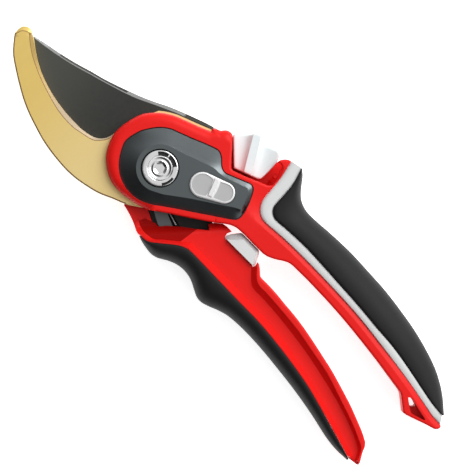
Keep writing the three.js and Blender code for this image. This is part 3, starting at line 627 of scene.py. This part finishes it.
def hook_top(p):
    """Flat, with a bevel along the inner edge and round the tip, and a chamfer along the outer edge."""
    drop = np.maximum(0.3 * between(p, hook_inner, hook_bevel), 0.5 * between(p, hook_tip, hook_tip_line))
    return HOOK_HIGH - np.maximum(drop, 0.45 * np.clip(1 - distance(p, hook_outer) / 0.5, 0, 1))


# Faces along the bevel's and the tip's creases, which take a painted dark line of shade.
def on_hook_crease(c):
    return np.minimum(distance(c, hook_bevel), distance(c, hook_tip_line)) < 0.15


relief(
    "counter_blade_shape", hook_outline, hook_top, level(HOOK_LOW), gold, UPPER,
    holes=[circle(BOLT_HOLE_R), slot_loop(1.7, SELECTOR_FROM, SELECTOR_TO)],
    lines=bevel_lines, creases=bevel_lines, rings=[0.25, 0.55], spacing=1.5,
    patches=[
        # The bevel along the hook's inner edge takes painted shade.
        (gold_bevel_painted_shade, lambda c: (c[:, 2] > 4) & (between(c, hook_inner, hook_bevel) > 0.02)),
        # The outer chamfer and the crease lines take the dark gold: painted shade.
        (gold_edge_painted_shade, lambda c: (c[:, 2] > 4) & (c[:, 0] < 0) & (distance(c, hook_outer) < 0.48)),
        (gold_edge_painted_shade, lambda c: (c[:, 2] > 4) & on_hook_crease(c)),
    ],
    replaces=["counter_blade"], slot="gold_coat",
)

blade_spine = smooth(
    (3, 25.6), (0, 24.7), (-5, 22.9), (-10, 21), (-15, 18.9), (-20, 16.4), (-25, 14.2), (-30, 12.3),
    (-35, 10.5), (-40, 8.9), (-45, 7.6), (-50, 6.1), (-55, 4.8), (-60, 3.7), (-65, 2.8), (-70.5, 1.6),
)
blade_chamfer = smooth(
    (2.8, 24.7), (-4, 21.9), (-10, 19.7), (-15, 17.5), (-20, 15.2), (-25, 12.8), (-30, 10.9),
    (-35, 9.3), (-40, 7.8), (-45, 6.4), (-50, 4.9), (-56, 3.4), (-64, 1.9), (-69.5, 1.2),
)
spine_middle = 0.3 * resampled(blade_spine, 90) + 0.7 * resampled(blade_chamfer, 90)
blade_edge = smooth(
    (-70.5, 0.9), (-65, -4.6), (-55, -10), (-45, -13.4), (-35, -14.8), (-28, -14.2), (-20, -10.6),
    (-15, -6.5),
)
blade_outline = chain(
    blade_edge, arc(RING_R, -160, -56),
    [(14.2, -15.8), (20, -17), (29, -12.6), (48.8, -11.6), (48.8, -6.6), (30, -8.4), (21, -13)],
    [(18.3, -12.2), (14.2, -10.4)], arc(RING_R, -32, -4), arc(SWEEP - 0.5, 12, 82), blade_spine,
    closed=True,
)
# The window in the blade that the selector's pin hangs in.
blade_window = chain(arc(22.1, 17, 62), arc(15, 62, 17), closed=True)
# Width of the face that is ground into the blade's underside along its edge.
GRIND = 6.8


def spine_share(p):
    """0 on the blade's face, rising to 1 across the chamfer along its spine."""
    return between(p, blade_spine, blade_chamfer)


def blade_top(p):
    return BLADE_HIGH - 0.95 * spine_share(p)


def blade_bottom(p):
    return BLADE_LOW + 2.5 * np.clip(1 - distance(p, blade_edge) / GRIND, 0, 1)


relief(
    "cutting_blade_shape", blade_outline, blade_top, blade_bottom, dark_coat, LOWER,
    holes=[circle(BOLT_HOLE_R), blade_window],
    lines=[blade_chamfer, spine_middle[2:-2], moved(blade_edge, GRIND)],
    creases=[blade_chamfer], spacing=1.5,
    patches=[
        (bright_spine, lambda c: (c[:, 2] > 0) & (c[:, 0] < -8) & (spine_share(c) > 0.02)),
        # In the middle of the spine's chamfer the dark coat stands for a dark reflection: painted shade.
        (dark_coat, lambda c: (spine_share(c) > 0.3) & (c[:, 0] > -58) & (c[:, 0] < -30) & (c[:, 2] > 0)),
        # The blade seen through the window under the head is darkened: painted shade.
        (steel_painted_shade, lambda c: (c[:, 2] > 0) & (c[:, 0] > 8) & (c[:, 1] < -8)),
        (ground, lambda c: (c[:, 2] < 0.9) & (distance(c, blade_edge) < GRIND) & (c[:, 0] < -13)),
    ],
    replaces=["cutting_blade"], slot="dark_coat",
)

# ---- Upper handle ----

panel_edge = chain(
    smooth(
        (-16.3, 0.5), (-15.2, 4.4), (-13.9, 6.8), (-11.9, 9.7), (-9.8, 11.8), (-7.4, 13.4),
        (-4.8, 14.4), (-2, 15.5), (0.2, 16.3), (5, 18.3), (8.7, 19.7), (10.4, 20.2), (11.9, 20.1),
        (13.7, 19), (15.5, 17.3), (17.1, 16.3), (18.7, 16.1), (20.1, 16.5), (25, 18.5), (28.2, 19.8),
        (29.5, 19.8), (30.8, 18.8), (32.2, 16.2), (33.6, 12.8), (34.3, 10.2), (34.4, 8), (33.5, 6.3),
        (30.3, 4), (25.2, 0.6), (20.2, -2.8), (15.2, -6.1), (10.2, -9.6), (7.6, -11.5), (5, -12.9),
        (2.4, -13.9), (0, -14.3), (-2.8, -14.3), (-5.4, -13.8), (-8.5, -12.5), (-11.4, -10.4),
        (-13.7, -7.7), (-15.5, -4.6), (-16.4, -2.2), (-16.3, 0.5),
    ),
    closed=True,
)
panel_recess = grown(panel_edge, 0.35)
# Rooms in the head, drawn past its outline: for the blade, for the hook's tang and for the thumb lock.
cavity = chain(
    [(-60, -50), (29.3, -50), (29.3, -0.1)], arc(SWEEP, 10, 82), [(3.6, 60), (-60, 60)],
    closed=True, step=3,
)
tang_pocket = chain(
    [(8, -14.4), (27.2, -1.3), (37.2, 6.2), (50.4, 6.2), (50.4, 11.8), (39.2, 11.8), (33.2, 15.6)],
    [(20.2, 15.6), (8, 8)], closed=True, step=3,
)
lock_room = chain(
    [(29, 30), (33.3, 30), (33.3, 33.6), (32.6, 35.7), (31.4, 40), (28, 40)], closed=True, step=3,
)


def end_taper(x):
    """How much each face of the upper bar drops towards its end."""
    return 2.2 * ease(x, 118, 148)


def bar_face(p, head_end):
    """Height of the red bar's face, before its edges are rounded: it slopes down to the trim."""
    base = BAR_HALF + (HEAD_TOP - BAR_HALF) * (1 - ease(p[:, 0], head_end, head_end + 14))
    return np.minimum(base, 7.9 + 0.32 * distance(p, trim_inner)) - end_taper(p[:, 0])


def upper_front_top(p):
    head = np.minimum(distance(p, cheek_edge), distance(p, shoulder))
    drop = np.maximum(rounding(head, CHEEK_R), rounding(distance(p, bar_inner), EDGE_R))
    drop = np.maximum(drop, rounding(distance(p, pocket), EDGE_R))
    return np.where(inside(p, panel_recess), PANEL_SEAT, bar_face(p, 29) - drop)


def upper_front_bottom(p):
    under_cheek = inside(p, cavity) | inside(p, tang_pocket) | inside(p, lock_room)
    return np.where(under_cheek, CHEEK_INNER, PARTING + GAP)


# The line along the bar where its face starts to slope down to the trim.
crease = moved(trim_inner, -1.9)
crease = crease[(crease[:, 0] > 39) & (crease[:, 0] < 143)]
# The hole in the handle's end is a long slot in front and a short one behind.
lanyard_front = chain(
    smooth((128.2, 5), (128.9, 5.7), (130.5, 5.7), (134, 4.8)),
    smooth((138.3, 3.9), (138.9, 3.5), (138.3, 3.1)), smooth((134.4, 1.9), (133.2, 1.7), (132, 2.3)),
    closed=True, step=0.5,
)
lanyard_back = chain(
    smooth((128.4, 5.2), (129, 5.6), (130.6, 5.6), (132.6, 5)),
    smooth((132.8, 4.2), (132, 3.4), (131, 3.2)), closed=True, step=0.5,
)

relief(
    "upper_front_shell_shape", upper_front, upper_front_top, upper_front_bottom, red, UPPER,
    holes=[lanyard_front], lines=[*step_lines(panel_recess, cavity, tang_pocket, lock_room), crease],
    creases=[crease], rings=rounding_steps(EDGE_R, CHEEK_R), replaces=["upper_front_shell"],
    slot="red_paint",
)

NUT_R = 6.6
nut_recess = circle(NUT_R + 0.3, sides=6)
lock_bay = chain(
    [(19.6, 18.8), (34.5, 25), (34.1, 30), (33.2, 40), (0, 40), (9, 30.2)], closed=True, step=1,
)
lock_bay_wall = smooth((34.7, 24.5), (34.6, 29), (34.3, 32), (34, 34.5))


def upper_back_top(p):
    """The parting face, the room between the cheeks, and the rounded floor under the thumb lock."""
    wall = ease(distance(p, lock_bay_wall), 0.1, 1.5)
    bay = PARTING - GAP - 8 * wall
    z = np.where(inside(p, cavity), BACK_CHEEK_INNER, PARTING - GAP)
    return np.where(inside(p, lock_bay), bay, z)


def upper_back_bottom(p):
    drop = np.maximum(rounding(distance(p, bar_inner), EDGE_R), rounding(distance(p, horn_back), EDGE_R))
    drop = np.maximum(drop, rounding(distance(p, cheek_edge), CHEEK_R / 2))
    return np.where(inside(p, nut_recess), -7.5, drop - bar_face(p, 30))


relief(
    "upper_back_shell_shape", upper_back, upper_back_top, upper_back_bottom, red, UPPER,
    holes=[lanyard_back, *(circle(SCREW_HOLE_R, at, 24) for at in upper_screws[1:])],
    lines=[*step_lines(nut_recess, cavity, lock_bay), crease],
    rings=rounding_steps(EDGE_R, CHEEK_R / 2), spacing=1.2, replaces=["upper_back_shell"], slot="red_paint",
)

trim_section = [
    (0, -0.9), (0, 0.9), (0.03, 0.94), (0.1, 0.975), (0.3, 1), (0.8, 1), (0.95, 0.985), (1, 0.95),
    (1, -0.95), (0.95, -0.985), (0.8, -1), (0.3, -1), (0.1, -0.975), (0.03, -0.94),
]
ruled(
    "upper_trim_shape", trim_inner, trim_outer, trim_section, lambda x: 8.9 - 2.5 * ease(x, 105, 148),
    white, UPPER, replaces=["upper_trim"], slot="white_plastic",
)


def grip_section():
    """Flat beside the seam, then rolled over to the outer edge."""
    front = [(0, 0.94), (0.008, 0.962), (0.025, 0.98), (0.06, 0.995)]
    angles = np.radians(np.arange(0, 91, 7.5))
    roll = [(0.12 + 0.88 * math.sin(a), 1 - (1 - math.cos(a)) ** 1.15) for a in angles]
    half = [*front, *roll[:-1]]
    return [*half, (1, 0), *((x, -z) for x, z in half[::-1])]


# Half the depth of the grips.
GRIP_HALF = 9.8
ruled(
    "upper_grip_shape", moved(trim_outer, 0.12), upper_grip_edge, grip_section(),
    lambda x: GRIP_HALF - 3 * ease(x, 98, 150), rubber, UPPER, replaces=["upper_grip"], slot="grip",
)

# ---- Lower handle ----

ridge_edge = chain(
    smooth((52.2, 0.8), (53.8, -0.3), (55, -1.4), (56.1, -2.2), (57.5, -2.35)),
    smooth(
        (60, -2.3), (65, -2.5), (70, -3), (75, -3.4), (80, -4), (85, -4.9), (90, -5.9), (95, -7),
        (100, -8.1), (105, -9.5), (110, -11), (115, -12.6), (120, -14.5), (125, -16.5), (128.9, -18.5),
    ),
    smooth((130, -19.9), (130.9, -22), (132.7, -25.1), (133.4, -26.4)),
)
lower_inner = chain(
    [(31.65, 1.93), (33.4, 2.3), (36.2, 2.3), (35.4, 0.4), (35.7, -0.8), (36.6, -1.5), (51.5, -1.5)],
    [(51.9, -0.6), (51.5, 0.9)], ridge_edge,
)
shell_seam = moved(lower_seam, 0.03)[::-1]
LOWER_END = (132.8, -26.9)
nose_front = [
    (11.6, -23.7), (10, -23.3), (8, -22.3), (7.6, -20.9), (9.3, -17.6), (13.4, -16.1), (14.9, -16.3),
]
window_edge = smooth((16.9, -13.9), (20.5, -10.7), (25, -7.3), (29.9, -3.5))
lower_front = chain(
    shell_seam, nose_front, window_edge, (27.8, -2), (29.05, -0.14), lower_inner, LOWER_END, closed=True,
)

# The channel along the lower handle lies between the foot of the rim and the foot of the ridge.
rim_foot = smooth(
    (12.6, -21.6), (16.9, -20.9), (20, -18.3), (25, -14.3), (27.4, -12.5), (30, -11.7), (50, -11.7),
    (60, -12), (70, -12.4), (80, -13.3), (95, -16.3), (105, -18.7), (115, -21.3), (125, -24.6),
    (131.2, -26.4),
)
ridge_crest = smooth(
    (51.6, 0.7), (53.6, -1.7), (56, -4), (58.5, -4.9), (62, -4.9), (70, -5.4), (80, -6.4), (90, -8.2),
    (100, -10.2), (110, -13.4), (120, -16.8), (126.5, -19.6), (129.6, -21.5), (131.9, -25.9),
)
ridge_foot = smooth(
    (50, -0.9), (53, -4.2), (55.8, -6.7), (58.5, -7.4), (64, -7.5), (70, -7.9), (80, -9), (90, -10.5),
    (100, -12.6), (110, -15), (119, -17.8), (125.5, -20.6), (128.8, -22.6), (131, -25.9),
)
CHANNEL = 2.7
# A point on the face where the channel steps down into the pocket, and the way into the pocket.
POCKET_FACE = (25.3, -9.4)
INTO_POCKET = (-0.753, 0.657)


def lower_taper(x):
    """How much each face of the lower handle drops towards its end."""
    return 2.1 * ease(x, 106, 140)


def lower_front_top(p):
    """The channel's floor between the rim and the ridge, which drop to the nose and to the end."""
    rim = BAR_HALF - 5.6 * (1 - ease(p[:, 0], 7, 20)) - lower_taper(p[:, 0])
    slope = between(p, moved(lower_seam, 0.5), rim_foot)
    slope = np.maximum(slope, inside(p, np.vstack([moved(lower_seam, -0.5), moved(lower_seam, 0.5)[::-1]])))
    on_ridge = inside(p, np.vstack([moved(ridge_edge, 1), ridge_crest[::-1]]))
    ridge = np.maximum(between(p, ridge_crest, ridge_foot), on_ridge)
    past_face = (p[:, 0] - POCKET_FACE[0]) * INTO_POCKET[0] + (p[:, 1] - POCKET_FACE[1]) * INTO_POCKET[1]
    pocket_depth = 3.2 * ease(past_face, -0.3, 4.5)
    floor = BAR_HALF - CHANNEL - lower_taper(p[:, 0]) - pocket_depth
    floor = np.where(p[:, 0] < 9.5, 3.0, floor)
    z = floor + (rim - floor) * np.maximum(slope, ridge)
    edge = rounding(distance(p, ridge_edge), EDGE_R) * (p[:, 0] > 52)
    return z - np.maximum(edge, rounding(distance(p, lower_inner), 0.3))


pocket_end = chain((7.9, -19.8), (9.8, -20.9), (12.6, -21.6), step=0.5)
# Where the pocket under the head takes the darker red: painted shade.
pocket_shade_patch = chain(
    (9.3, -17.6), (13.4, -16.1), window_edge[:-4], (26.3, -6.4), (25, -14.2),
    rim_foot[rim_foot[:, 0] < 24.8][::-1], pocket_end[::-1], closed=True,
)
relief(
    "lower_front_shell_shape", lower_front, lower_front_top, level(PARTING + GAP), red, LOWER,
    lines=[
        rim_foot[1:-1], moved(lower_seam, 0.5)[2:-2], ridge_crest[1:-1], ridge_foot[1:-1],
        chain((26, -7.3), (25.1, -13.9)), pocket_end[1:-1],
    ],
    creases=[rim_foot, ridge_crest, ridge_foot], rings=rounding_steps(0.3, EDGE_R),
    patches=[(red_painted_shade, lambda c: inside(c, pocket_shade_patch) & (c[:, 2] > 2))],
    replaces=["lower_front_shell"], slot="red_paint",
)

knuckle_outline = chain(
    arc(RING_R, 20, 296),
    [(13.2, -17.1), (20, -17.8), (29, -13.2), (50, -12), (50, -5.8), (34, -5), (29, -4.4)],
    [(28.9, -0.6), (22, -0.6)], arc(RING_R, -3, 10), closed=True,
)
nose_back = chain(
    [(11.6, -23.7), (10, -23.3)], smooth((8.3, -22.5), (6.5, -21.7), (2.9, -20.5), (-0.1, -19.8)),
    (-0.9, -18.3), arc(RING_R + 0.3, -92, -62), [(11.8, -15.6), (13.9, -16.4), (14.4, -15.4), (20, -7.2)],
)
lower_back = chain(shell_seam, nose_back, (28.8, -1.2), lower_inner, LOWER_END, closed=True)
knuckle_bay = grown(knuckle_outline, 0.15)


def lower_back_top(p):
    return np.where(inside(p, knuckle_bay), KNUCKLE_LOW - 0.1, PARTING - GAP)


def lower_back_bottom(p):
    """The back face is raised at the nose, which clears the back cheek when the shears open."""
    z = -BAR_HALF + 2 * (1 - ease(p[:, 0], 9, 16)) + lower_taper(p[:, 0])
    return z + np.maximum(rounding(distance(p, lower_inner), 0.8), rounding(distance(p, nose_back), 0.8))


relief(
    "lower_back_shell_shape", lower_back, lower_back_top, lower_back_bottom, red, LOWER,
    holes=[circle(SCREW_HOLE_R, at, 24) for at in lower_screws], lines=step_lines(knuckle_bay),
    rings=rounding_steps(0.8), spacing=1.2, replaces=["lower_back_shell"], slot="red_paint",
)

ruled(
    "lower_grip_shape", moved(lower_seam, -0.03), lower_grip_edge, grip_section(),
    lambda x: GRIP_HALF - 3 * ease(x, 94, 138), rubber, LOWER, replaces=["lower_grip"], slot="grip",
)

# The groove in the knuckle that the spring's long leg lies in.
leg_slot = chain(
    [(-5, -6), (3, -7.4), (9, -8.1), (15, -8.8), (20.6, -10.4), (20.2, -12.6), (14.5, -11), (9, -10.4)],
    [(3, -9.8), (-3, -8.6)], closed=True,
)


def knuckle_top(p):
    return np.where(inside(p, leg_slot), KNUCKLE_HIGH - 2.2, KNUCKLE_HIGH)


relief(
    "knuckle_shape", knuckle_outline, knuckle_top, level(KNUCKLE_LOW), nylon_and_painted_shade, LOWER, holes=[circle(9.2)],
    lines=step_lines(leg_slot), spacing=2, replaces=["knuckle"], slot="black_nylon",
)

COIL_R = 7.2
COIL_LOW, COIL_HIGH = -5.85, -2.95
WIRE_R = 0.6
heights = np.linspace(COIL_LOW, COIL_HIGH, 230)
turns = np.radians(150 + np.linspace(0, 820, len(heights)))
coil = np.column_stack([COIL_R * np.cos(turns), COIL_R * np.sin(turns), heights])
# One end is bent into the back cheek, and the other lies in the knuckle.
hook_end = [(*coil[0][:2], COIL_LOW - d) for d in (2.1, 1.7, 1.3, 0.9)]
leg = smooth(*((*at, COIL_HIGH) for at in (coil[-1][:2], (3, -8.6), (9, -9.2), (14.9, -9.9), (19.2, -11.2))))
spring = tube("torsion_spring_shape", [*hook_end, *coil, *leg[2:]], WIRE_R, steel, None)
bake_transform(spring)
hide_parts("torsion_spring")

bumper_outline = chain(
    smooth((35.7, -0.4), (36.2, -1.3), (37, -1.45)), smooth((50.6, -1.45), (51.3, -1.1), (51.5, -0.4)),
    smooth((50.7, 1.4), (49.3, 3.8), (48.3, 4.55)), smooth((39.9, 4.6), (39, 4.3), (36.7, 1.5)),
    closed=True, step=0.5,
)
bumper_face = chain((37.2, -1.2), (50.9, -1.2), (48.6, 3), (41.6, 3.2), closed=True, step=0.5)


def bumper_top(p):
    return 6.2 + 1.5 * rise(p, bumper_outline, bumper_face)


# The bumper's chamfers on its upper side take grey: painted shade from the red bar beside them.
def chamfers_in_painted_shade(c):
    return (c[:, 2] > 5) & ~inside(c, bumper_face) & (c[:, 1] > -0.9) & (c[:, 0] < 48.4)


relief(
    "bumper_shape", bumper_outline, bumper_top, lambda p: -bumper_top(p), white, LOWER,
    lines=[looped(bumper_face)], creases=[looped(bumper_face)], spacing=0.8,
    patches=[(pad_and_painted_shade, chamfers_in_painted_shade)], replaces=["bumper"], slot="white_plastic",
)

# ---- Screws, from the back ----


def screw(node, body, at, seat, tip):
    """A screw with a hexagonal socket, its head in the back shell and its shank up to the front one."""
    socket = circle(0.85, at, 6)
    shank = circle(1.1, at, 24)
    rim = circle(1.7, at, 32)

    def front(p):
        return np.where(inside(p, shank), tip, seat + 1.2)

    def back(p):
        chamfer = 0.25 * np.clip(1 - distance(p, rim, True) / 0.25, 0, 1)
        return np.where(inside(p, socket), seat + 0.8, seat + chamfer)

    relief(
        f"{node}_shape", rim, front, back, steel, body, lines=step_lines(socket, shank), rings=[0.25],
        spacing=0.5, replaces=[node], slot="steel",
    )


# Height of the screws' outer faces.
SCREW_SEAT = -8.2
for number, at in enumerate(upper_screws, 1):
    screw(f"upper_screw_{number}", UPPER, at, SCREW_SEAT, 4.8)
for number, at in enumerate(lower_screws, 1):
    screw(f"lower_screw_{number}", LOWER, at, SCREW_SEAT, 3.2)

# ---- Pivot ----

BOLT_SHANK_R = 4.2
socket = circle(2.4, sides=6, turn=50)
socket_floor = circle(1.8, sides=6, turn=50)
bolt_rim = circle(4.7, sides=72)
ring_rim = circle(6.95, sides=96)


def bolt_top(p):
    """A shallow dish round a hexagonal socket."""
    r = np.hypot(p[:, 0], p[:, 1])
    chamfer = 0.25 * np.clip((r - 4.45) / 0.25, 0, 1)
    dish = 11.25 - 0.3 * ease(r, 2.4, 3.4) * (1 - ease(r, 3.6, 4.3)) - chamfer
    lip = 0.35 * np.clip(1 - distance(p, socket, True) / 0.4, 0, 1)
    return np.where(inside(p, socket), 10.9 - 1.5 * rise(p, socket, socket_floor), dish - lip)


def bolt_bottom(p):
    return np.where(np.hypot(p[:, 0], p[:, 1]) < BOLT_SHANK_R, -9.4, PANEL_SEAT + 0.1)


relief(
    "pivot_bolt_shape", bolt_rim, bolt_top, bolt_bottom, chrome, UPPER,
    lines=[
        *step_lines(circle(BOLT_SHANK_R)), looped(socket), looped(socket_floor),
        *(looped(circle(r, sides=72)) for r in (2.7, 3, 3.4, 3.7, 4, 4.3)),
    ],
    creases=[looped(socket), looped(socket_floor)], rings=[0.12, 0.25], spacing=0.5,
    replaces=["pivot_bolt"], slot="chrome",
)


def ring_window(start, end, near, far):
    """A recess in the pivot's ring between two angles and two radii."""
    return chain(arc(far, start, end), arc(near, end, start), closed=True, step=0.4)


windows = [ring_window(50, 96, 5.05, 6.5), ring_window(102, 142, 4.95, 6.35), ring_window(-39, 7, 5.7, 6.6)]


def in_windows(p):
    return inside(p, windows[0]) | inside(p, windows[1]) | inside(p, windows[2])


def ring_top(p):
    r = np.hypot(p[:, 0], p[:, 1])
    z = 11.05 - 0.3 * np.clip((r - 6.7) / 0.25, 0, 1) - 0.1 * np.clip((4.95 - r) / 0.2, 0, 1)
    return np.where(in_windows(p), 9.6, z)


relief(
    "pivot_ring_shape", ring_rim, ring_top, level(PANEL_SEAT + 0.5), chrome, UPPER,
    holes=[circle(4.75, sides=72)], lines=step_lines(*windows), rings=[0.2, 0.4], spacing=0.6,
    # The floors of the ring's windows are black: painted shade in the holes.
    patches=[(nylon_and_painted_shade, lambda c: in_windows(c) & (c[:, 2] < 11))], replaces=["pivot_ring"], slot="chrome",
)


def nut_bottom(p):
    return -9.7 + 0.6 * ease(np.hypot(p[:, 0], p[:, 1]), 5.6, 6.6)


relief(
    "pivot_nut_shape", circle(NUT_R, sides=6), level(-7.6), nut_bottom, steel, UPPER,
    holes=[circle(BOLT_SHANK_R + 0.1)], lines=[looped(circle(5.6))], spacing=0.8, replaces=["pivot_nut"],
    slot="steel",
)

# ---- Head panel and width selector ----

plateau = chain(
    arc(9.1, 103, 292), smooth((7.8, -6.2), (15, -0.9), (20, 2.5), (25, 5.7), (30, 9.1), (32.9, 10.6)),
    (30.4, 17), (28.8, 18.1), smooth((20, 15), (17.4, 14.6), (14, 14.4), (10, 13), (6, 11.6), (2, 10.1)),
    closed=True,
)
# The middles of the button's two round ends.
BUTTON_LEFT = (15.8, 6.95)
BUTTON_RIGHT = (23.8, 10.65)
button_outline = chain(
    arc(4.85, 112, 300, BUTTON_LEFT), arc(4.1, -60, 112, BUTTON_RIGHT), closed=True, step=0.5,
)
button_bay = grown(button_outline, 0.35)
bolt_bay = circle(7.35, sides=96)
# A narrow groove runs round the panel, outside this line.
panel_lip = grown(panel_edge, -0.05)


def panel_top(p):
    edge = 9.1 + 1.1 * ease(p[:, 1] - 0.35 * p[:, 0], 2, 12)
    z = edge + (PLATEAU - edge) * rise(p, panel_edge, plateau)
    z = np.where(inside(p, panel_lip), z, PANEL_SEAT + 0.5)
    z = np.where(inside(p, bolt_bay), PANEL_SEAT + 0.4, z)
    return np.where(inside(p, button_bay), PLATEAU - 0.6, z)


relief(
    "head_panel_shape", grown(panel_edge, 0.3), panel_top, level(PANEL_SEAT + 0.05), slate, UPPER,
    holes=[circle(6.6, sides=96)], lines=[*step_lines(panel_lip, button_bay, bolt_bay), looped(plateau)],
    creases=[looped(plateau)], rings=[0.5],
    patches=[
        # The floor round the pivot ring and the groove round the panel are black: painted shade in the gaps.
        (nylon_and_painted_shade, lambda c: inside(c, bolt_bay) & (c[:, 2] < 10)),
        (nylon_and_painted_shade, lambda c: ~inside(c, grown(panel_edge, -0.06)) & (c[:, 2] < 9.05)),
    ],
    replaces=["head_panel"], slot="grey_plastic",
)

left_pad = chain(
    arc(4.15, 108, 298, BUTTON_LEFT), smooth((19.6, 4.7), (19.1, 7.6), (17.3, 11.3)), closed=True, step=0.5,
)
right_pad = chain(
    arc(3.4, -70, 112, BUTTON_RIGHT), smooth((19.9, 12.5), (21.2, 9.6), (22.1, 6.3)), closed=True, step=0.5,
)
PAD_TOP = 12.0
bar = chain((17.3, 12.1), (19.3, 12.8), (21.8, 6), (20, 5.2), closed=True, step=0.5)


def button_top(p):
    """A bright button with two sunk pads and a raised bar between them."""
    z = 12.25 - rounding(distance(p, button_outline, True), 0.5)
    z = np.where(inside(p, left_pad) | inside(p, right_pad), PAD_TOP, z)
    return np.maximum(z, PAD_TOP + 0.9 * np.clip(distance(p, bar, True) / 0.4, 0, 1) * inside(p, bar))


relief(
    "opening_selector_shape", button_outline, button_top, level(PLATEAU + 0.1), satin, SELECTOR,
    lines=[*step_lines(left_pad, right_pad), looped(bar), looped(grown(bar, -0.4))],
    rings=rounding_steps(0.5), spacing=0.7,
    patches=[(pad_and_painted_shade, lambda c: (c[:, 2] > PAD_TOP - 0.1) & (c[:, 2] < PAD_TOP + 0.05))],
    replaces=["opening_selector"], slot="chrome",
)

# ---- Thumb lock ----

lock_outline = chain(
    [(19.6, 19.9), (10.4, 28.7)],
    smooth(
        (10.4, 29.6), (12, 31), (13.3, 32), (14.5, 33.1), (15.4, 34.2), (16.2, 35.3), (18.2, 36.3),
        (19.6, 35.9), (21.2, 35.4), (23, 35.3), (25, 35.9), (27.3, 36.6), (28.6, 35.9),
    ),
    smooth((29.4, 34), (29.8, 32), (29.9, 26), (29.7, 24.2), (29.1, 23.5)), closed=True, step=0.6,
)
rib_foot = np.array([24.1, 23.4])
rib_head = np.array([17.8, 34])
rib_across = np.array([0.86, 0.51])
RIB_LENGTH = 12.3


def lock_top(p):
    """A rib across the middle and a scooped dip on either side of it."""
    aside = np.abs((p[:, :2] - rib_foot) @ rib_across)
    beside = np.clip(aside - 1.6, 0, 9)
    dip = 0.4 * ease(aside, 1.5, 1.9) + 2.9 * (1 - np.exp(-beside / 1.3)) - 0.22 * beside
    edge = rounding(distance(p, lock_outline, True), 0.8)
    return 6.3 - dip - edge


def lock_bottom(p):
    """The front's shape mirrored, and thinner beside the wall of the bay that the lock slides in."""
    return 2.2 * ease(p[:, 0], 26, 28.5) - lock_top(p)


# The rib's edges run on for 6 mm past both of its ends, which is beyond the outline.
overrun = 6 * (rib_head - rib_foot) / RIB_LENGTH
rib_middle = np.vstack([rib_foot - overrun, rib_head + overrun])
relief(
    "thumb_lock_shape", lock_outline, lock_top, lock_bottom, lock_white, LOCK,
    lines=[chain(rib_middle + by * rib_across, step=0.7) for by in (-1.9, -1.5, 1.5, 1.9)],
    rings=rounding_steps(0.8), spacing=0.8, replaces=["thumb_lock"], slot="white_plastic",
)

# ---- CAD nodes that stay, inside ----

for name, finish in (
    ("hook_dowel_1", steel),
    ("hook_dowel_2", steel),
    ("blade_dowel_1", steel),
    ("blade_dowel_2", steel),
    ("selector_clip", steel),
    ("selector_pin", steel),
    ("thrust_washer", steel),
    ("pivot_bushing", bronze),
):
    slots = frame["nodes"][name].data.materials
    slots.clear()
    slots.append(finish)

# ---- Floor, light and camera ----

VIEW_CENTRE = PIVOT + np.array([0.03797, 0.00218, 0])
# Up and right in the view.
UP = np.array([-0.70711, 0.70711, 0])
RIGHT = np.array([0.70711, 0.70711, 0])
# What the view spans at the height of the handles' faces, and the long lens that shows it, in metres and mm.
VIEW_WIDTH = 0.1786
FACE_HEIGHT = 0.008
LENS = 200.0
SENSOR = 36.0

camera_data = bpy.data.cameras.new("camera")
camera_data.lens = LENS
camera_data.sensor_width = SENSOR
camera_data.clip_end = 50
camera = bpy.data.objects.new("camera", camera_data)
camera.rotation_euler = (0, 0, math.radians(45))
camera.location = VIEW_CENTRE + np.array([0, 0, FACE_HEIGHT + VIEW_WIDTH * LENS / SENSOR])
bpy.context.scene.collection.objects.link(camera)
bpy.context.scene.camera = camera


def softbox(name, at, size, power):
    """A square area light that looks at the middle of the view."""
    light = bpy.data.lights.new(name, "AREA")
    light.size = size
    light.energy = power
    holder = bpy.data.objects.new(name, light)
    holder.location = VIEW_CENTRE + at
    holder.rotation_euler = Vector(-at).to_track_quat("-Z", "Y").to_euler()
    bpy.context.scene.collection.objects.link(holder)


softbox("key", 0.35 * UP + 0.42 * RIGHT + np.array([0, 0, 0.55]), 0.6, 5)

floor_mesh = bpy.data.meshes.new("floor")
floor_mesh.from_pydata([(-3, -3, 0), (3, -3, 0), (3, 3, 0), (-3, 3, 0)], [], [(0, 1, 2, 3)])
floor_mesh.materials.append(
    material(
        "floor_paint", (0.9, 0.9, 0.9), 0.9, grain=(20, 0), vary=0, Emission_Color=(1, 1, 1, 1),
        Emission_Strength=0.8, Specular_IOR_Level=0.0,
    )
)
floor = bpy.data.objects.new("floor", floor_mesh)
# A little below the part, so that no two faces lie in one plane.
floor.location.z = -0.0003
bpy.context.scene.collection.objects.link(floor)

# The studio is bright on the side of +Y and dark on the other, with a soft change between.
world = bpy.data.worlds.new("studio")
world.use_nodes = True
world_nodes, world_links = world.node_tree.nodes, world.node_tree.links
background = world_nodes["Background"]
background.inputs["Color"].default_value = (1, 1, 1, 1)
direction = world_nodes.new("ShaderNodeTexCoord")
facing = world_nodes.new("ShaderNodeVectorMath")
facing.operation = "DOT_PRODUCT"
facing.inputs[1].default_value = (0.25, 0.97, 0)
brightness = world_nodes.new("ShaderNodeMapRange")
brightness.interpolation_type = "SMOOTHSTEP"
for socket_name, value in (("From Min", -0.5), ("From Max", 0.12), ("To Min", 0.03), ("To Max", 0.85)):
    brightness.inputs[socket_name].default_value = value
world_links.new(direction.outputs["Generated"], facing.inputs[0])
world_links.new(facing.outputs["Value"], brightness.inputs["Value"])
world_links.new(brightness.outputs["Result"], background.inputs["Strength"])
bpy.context.scene.world = world
bpy.context.scene.view_settings.view_transform = "Standard"
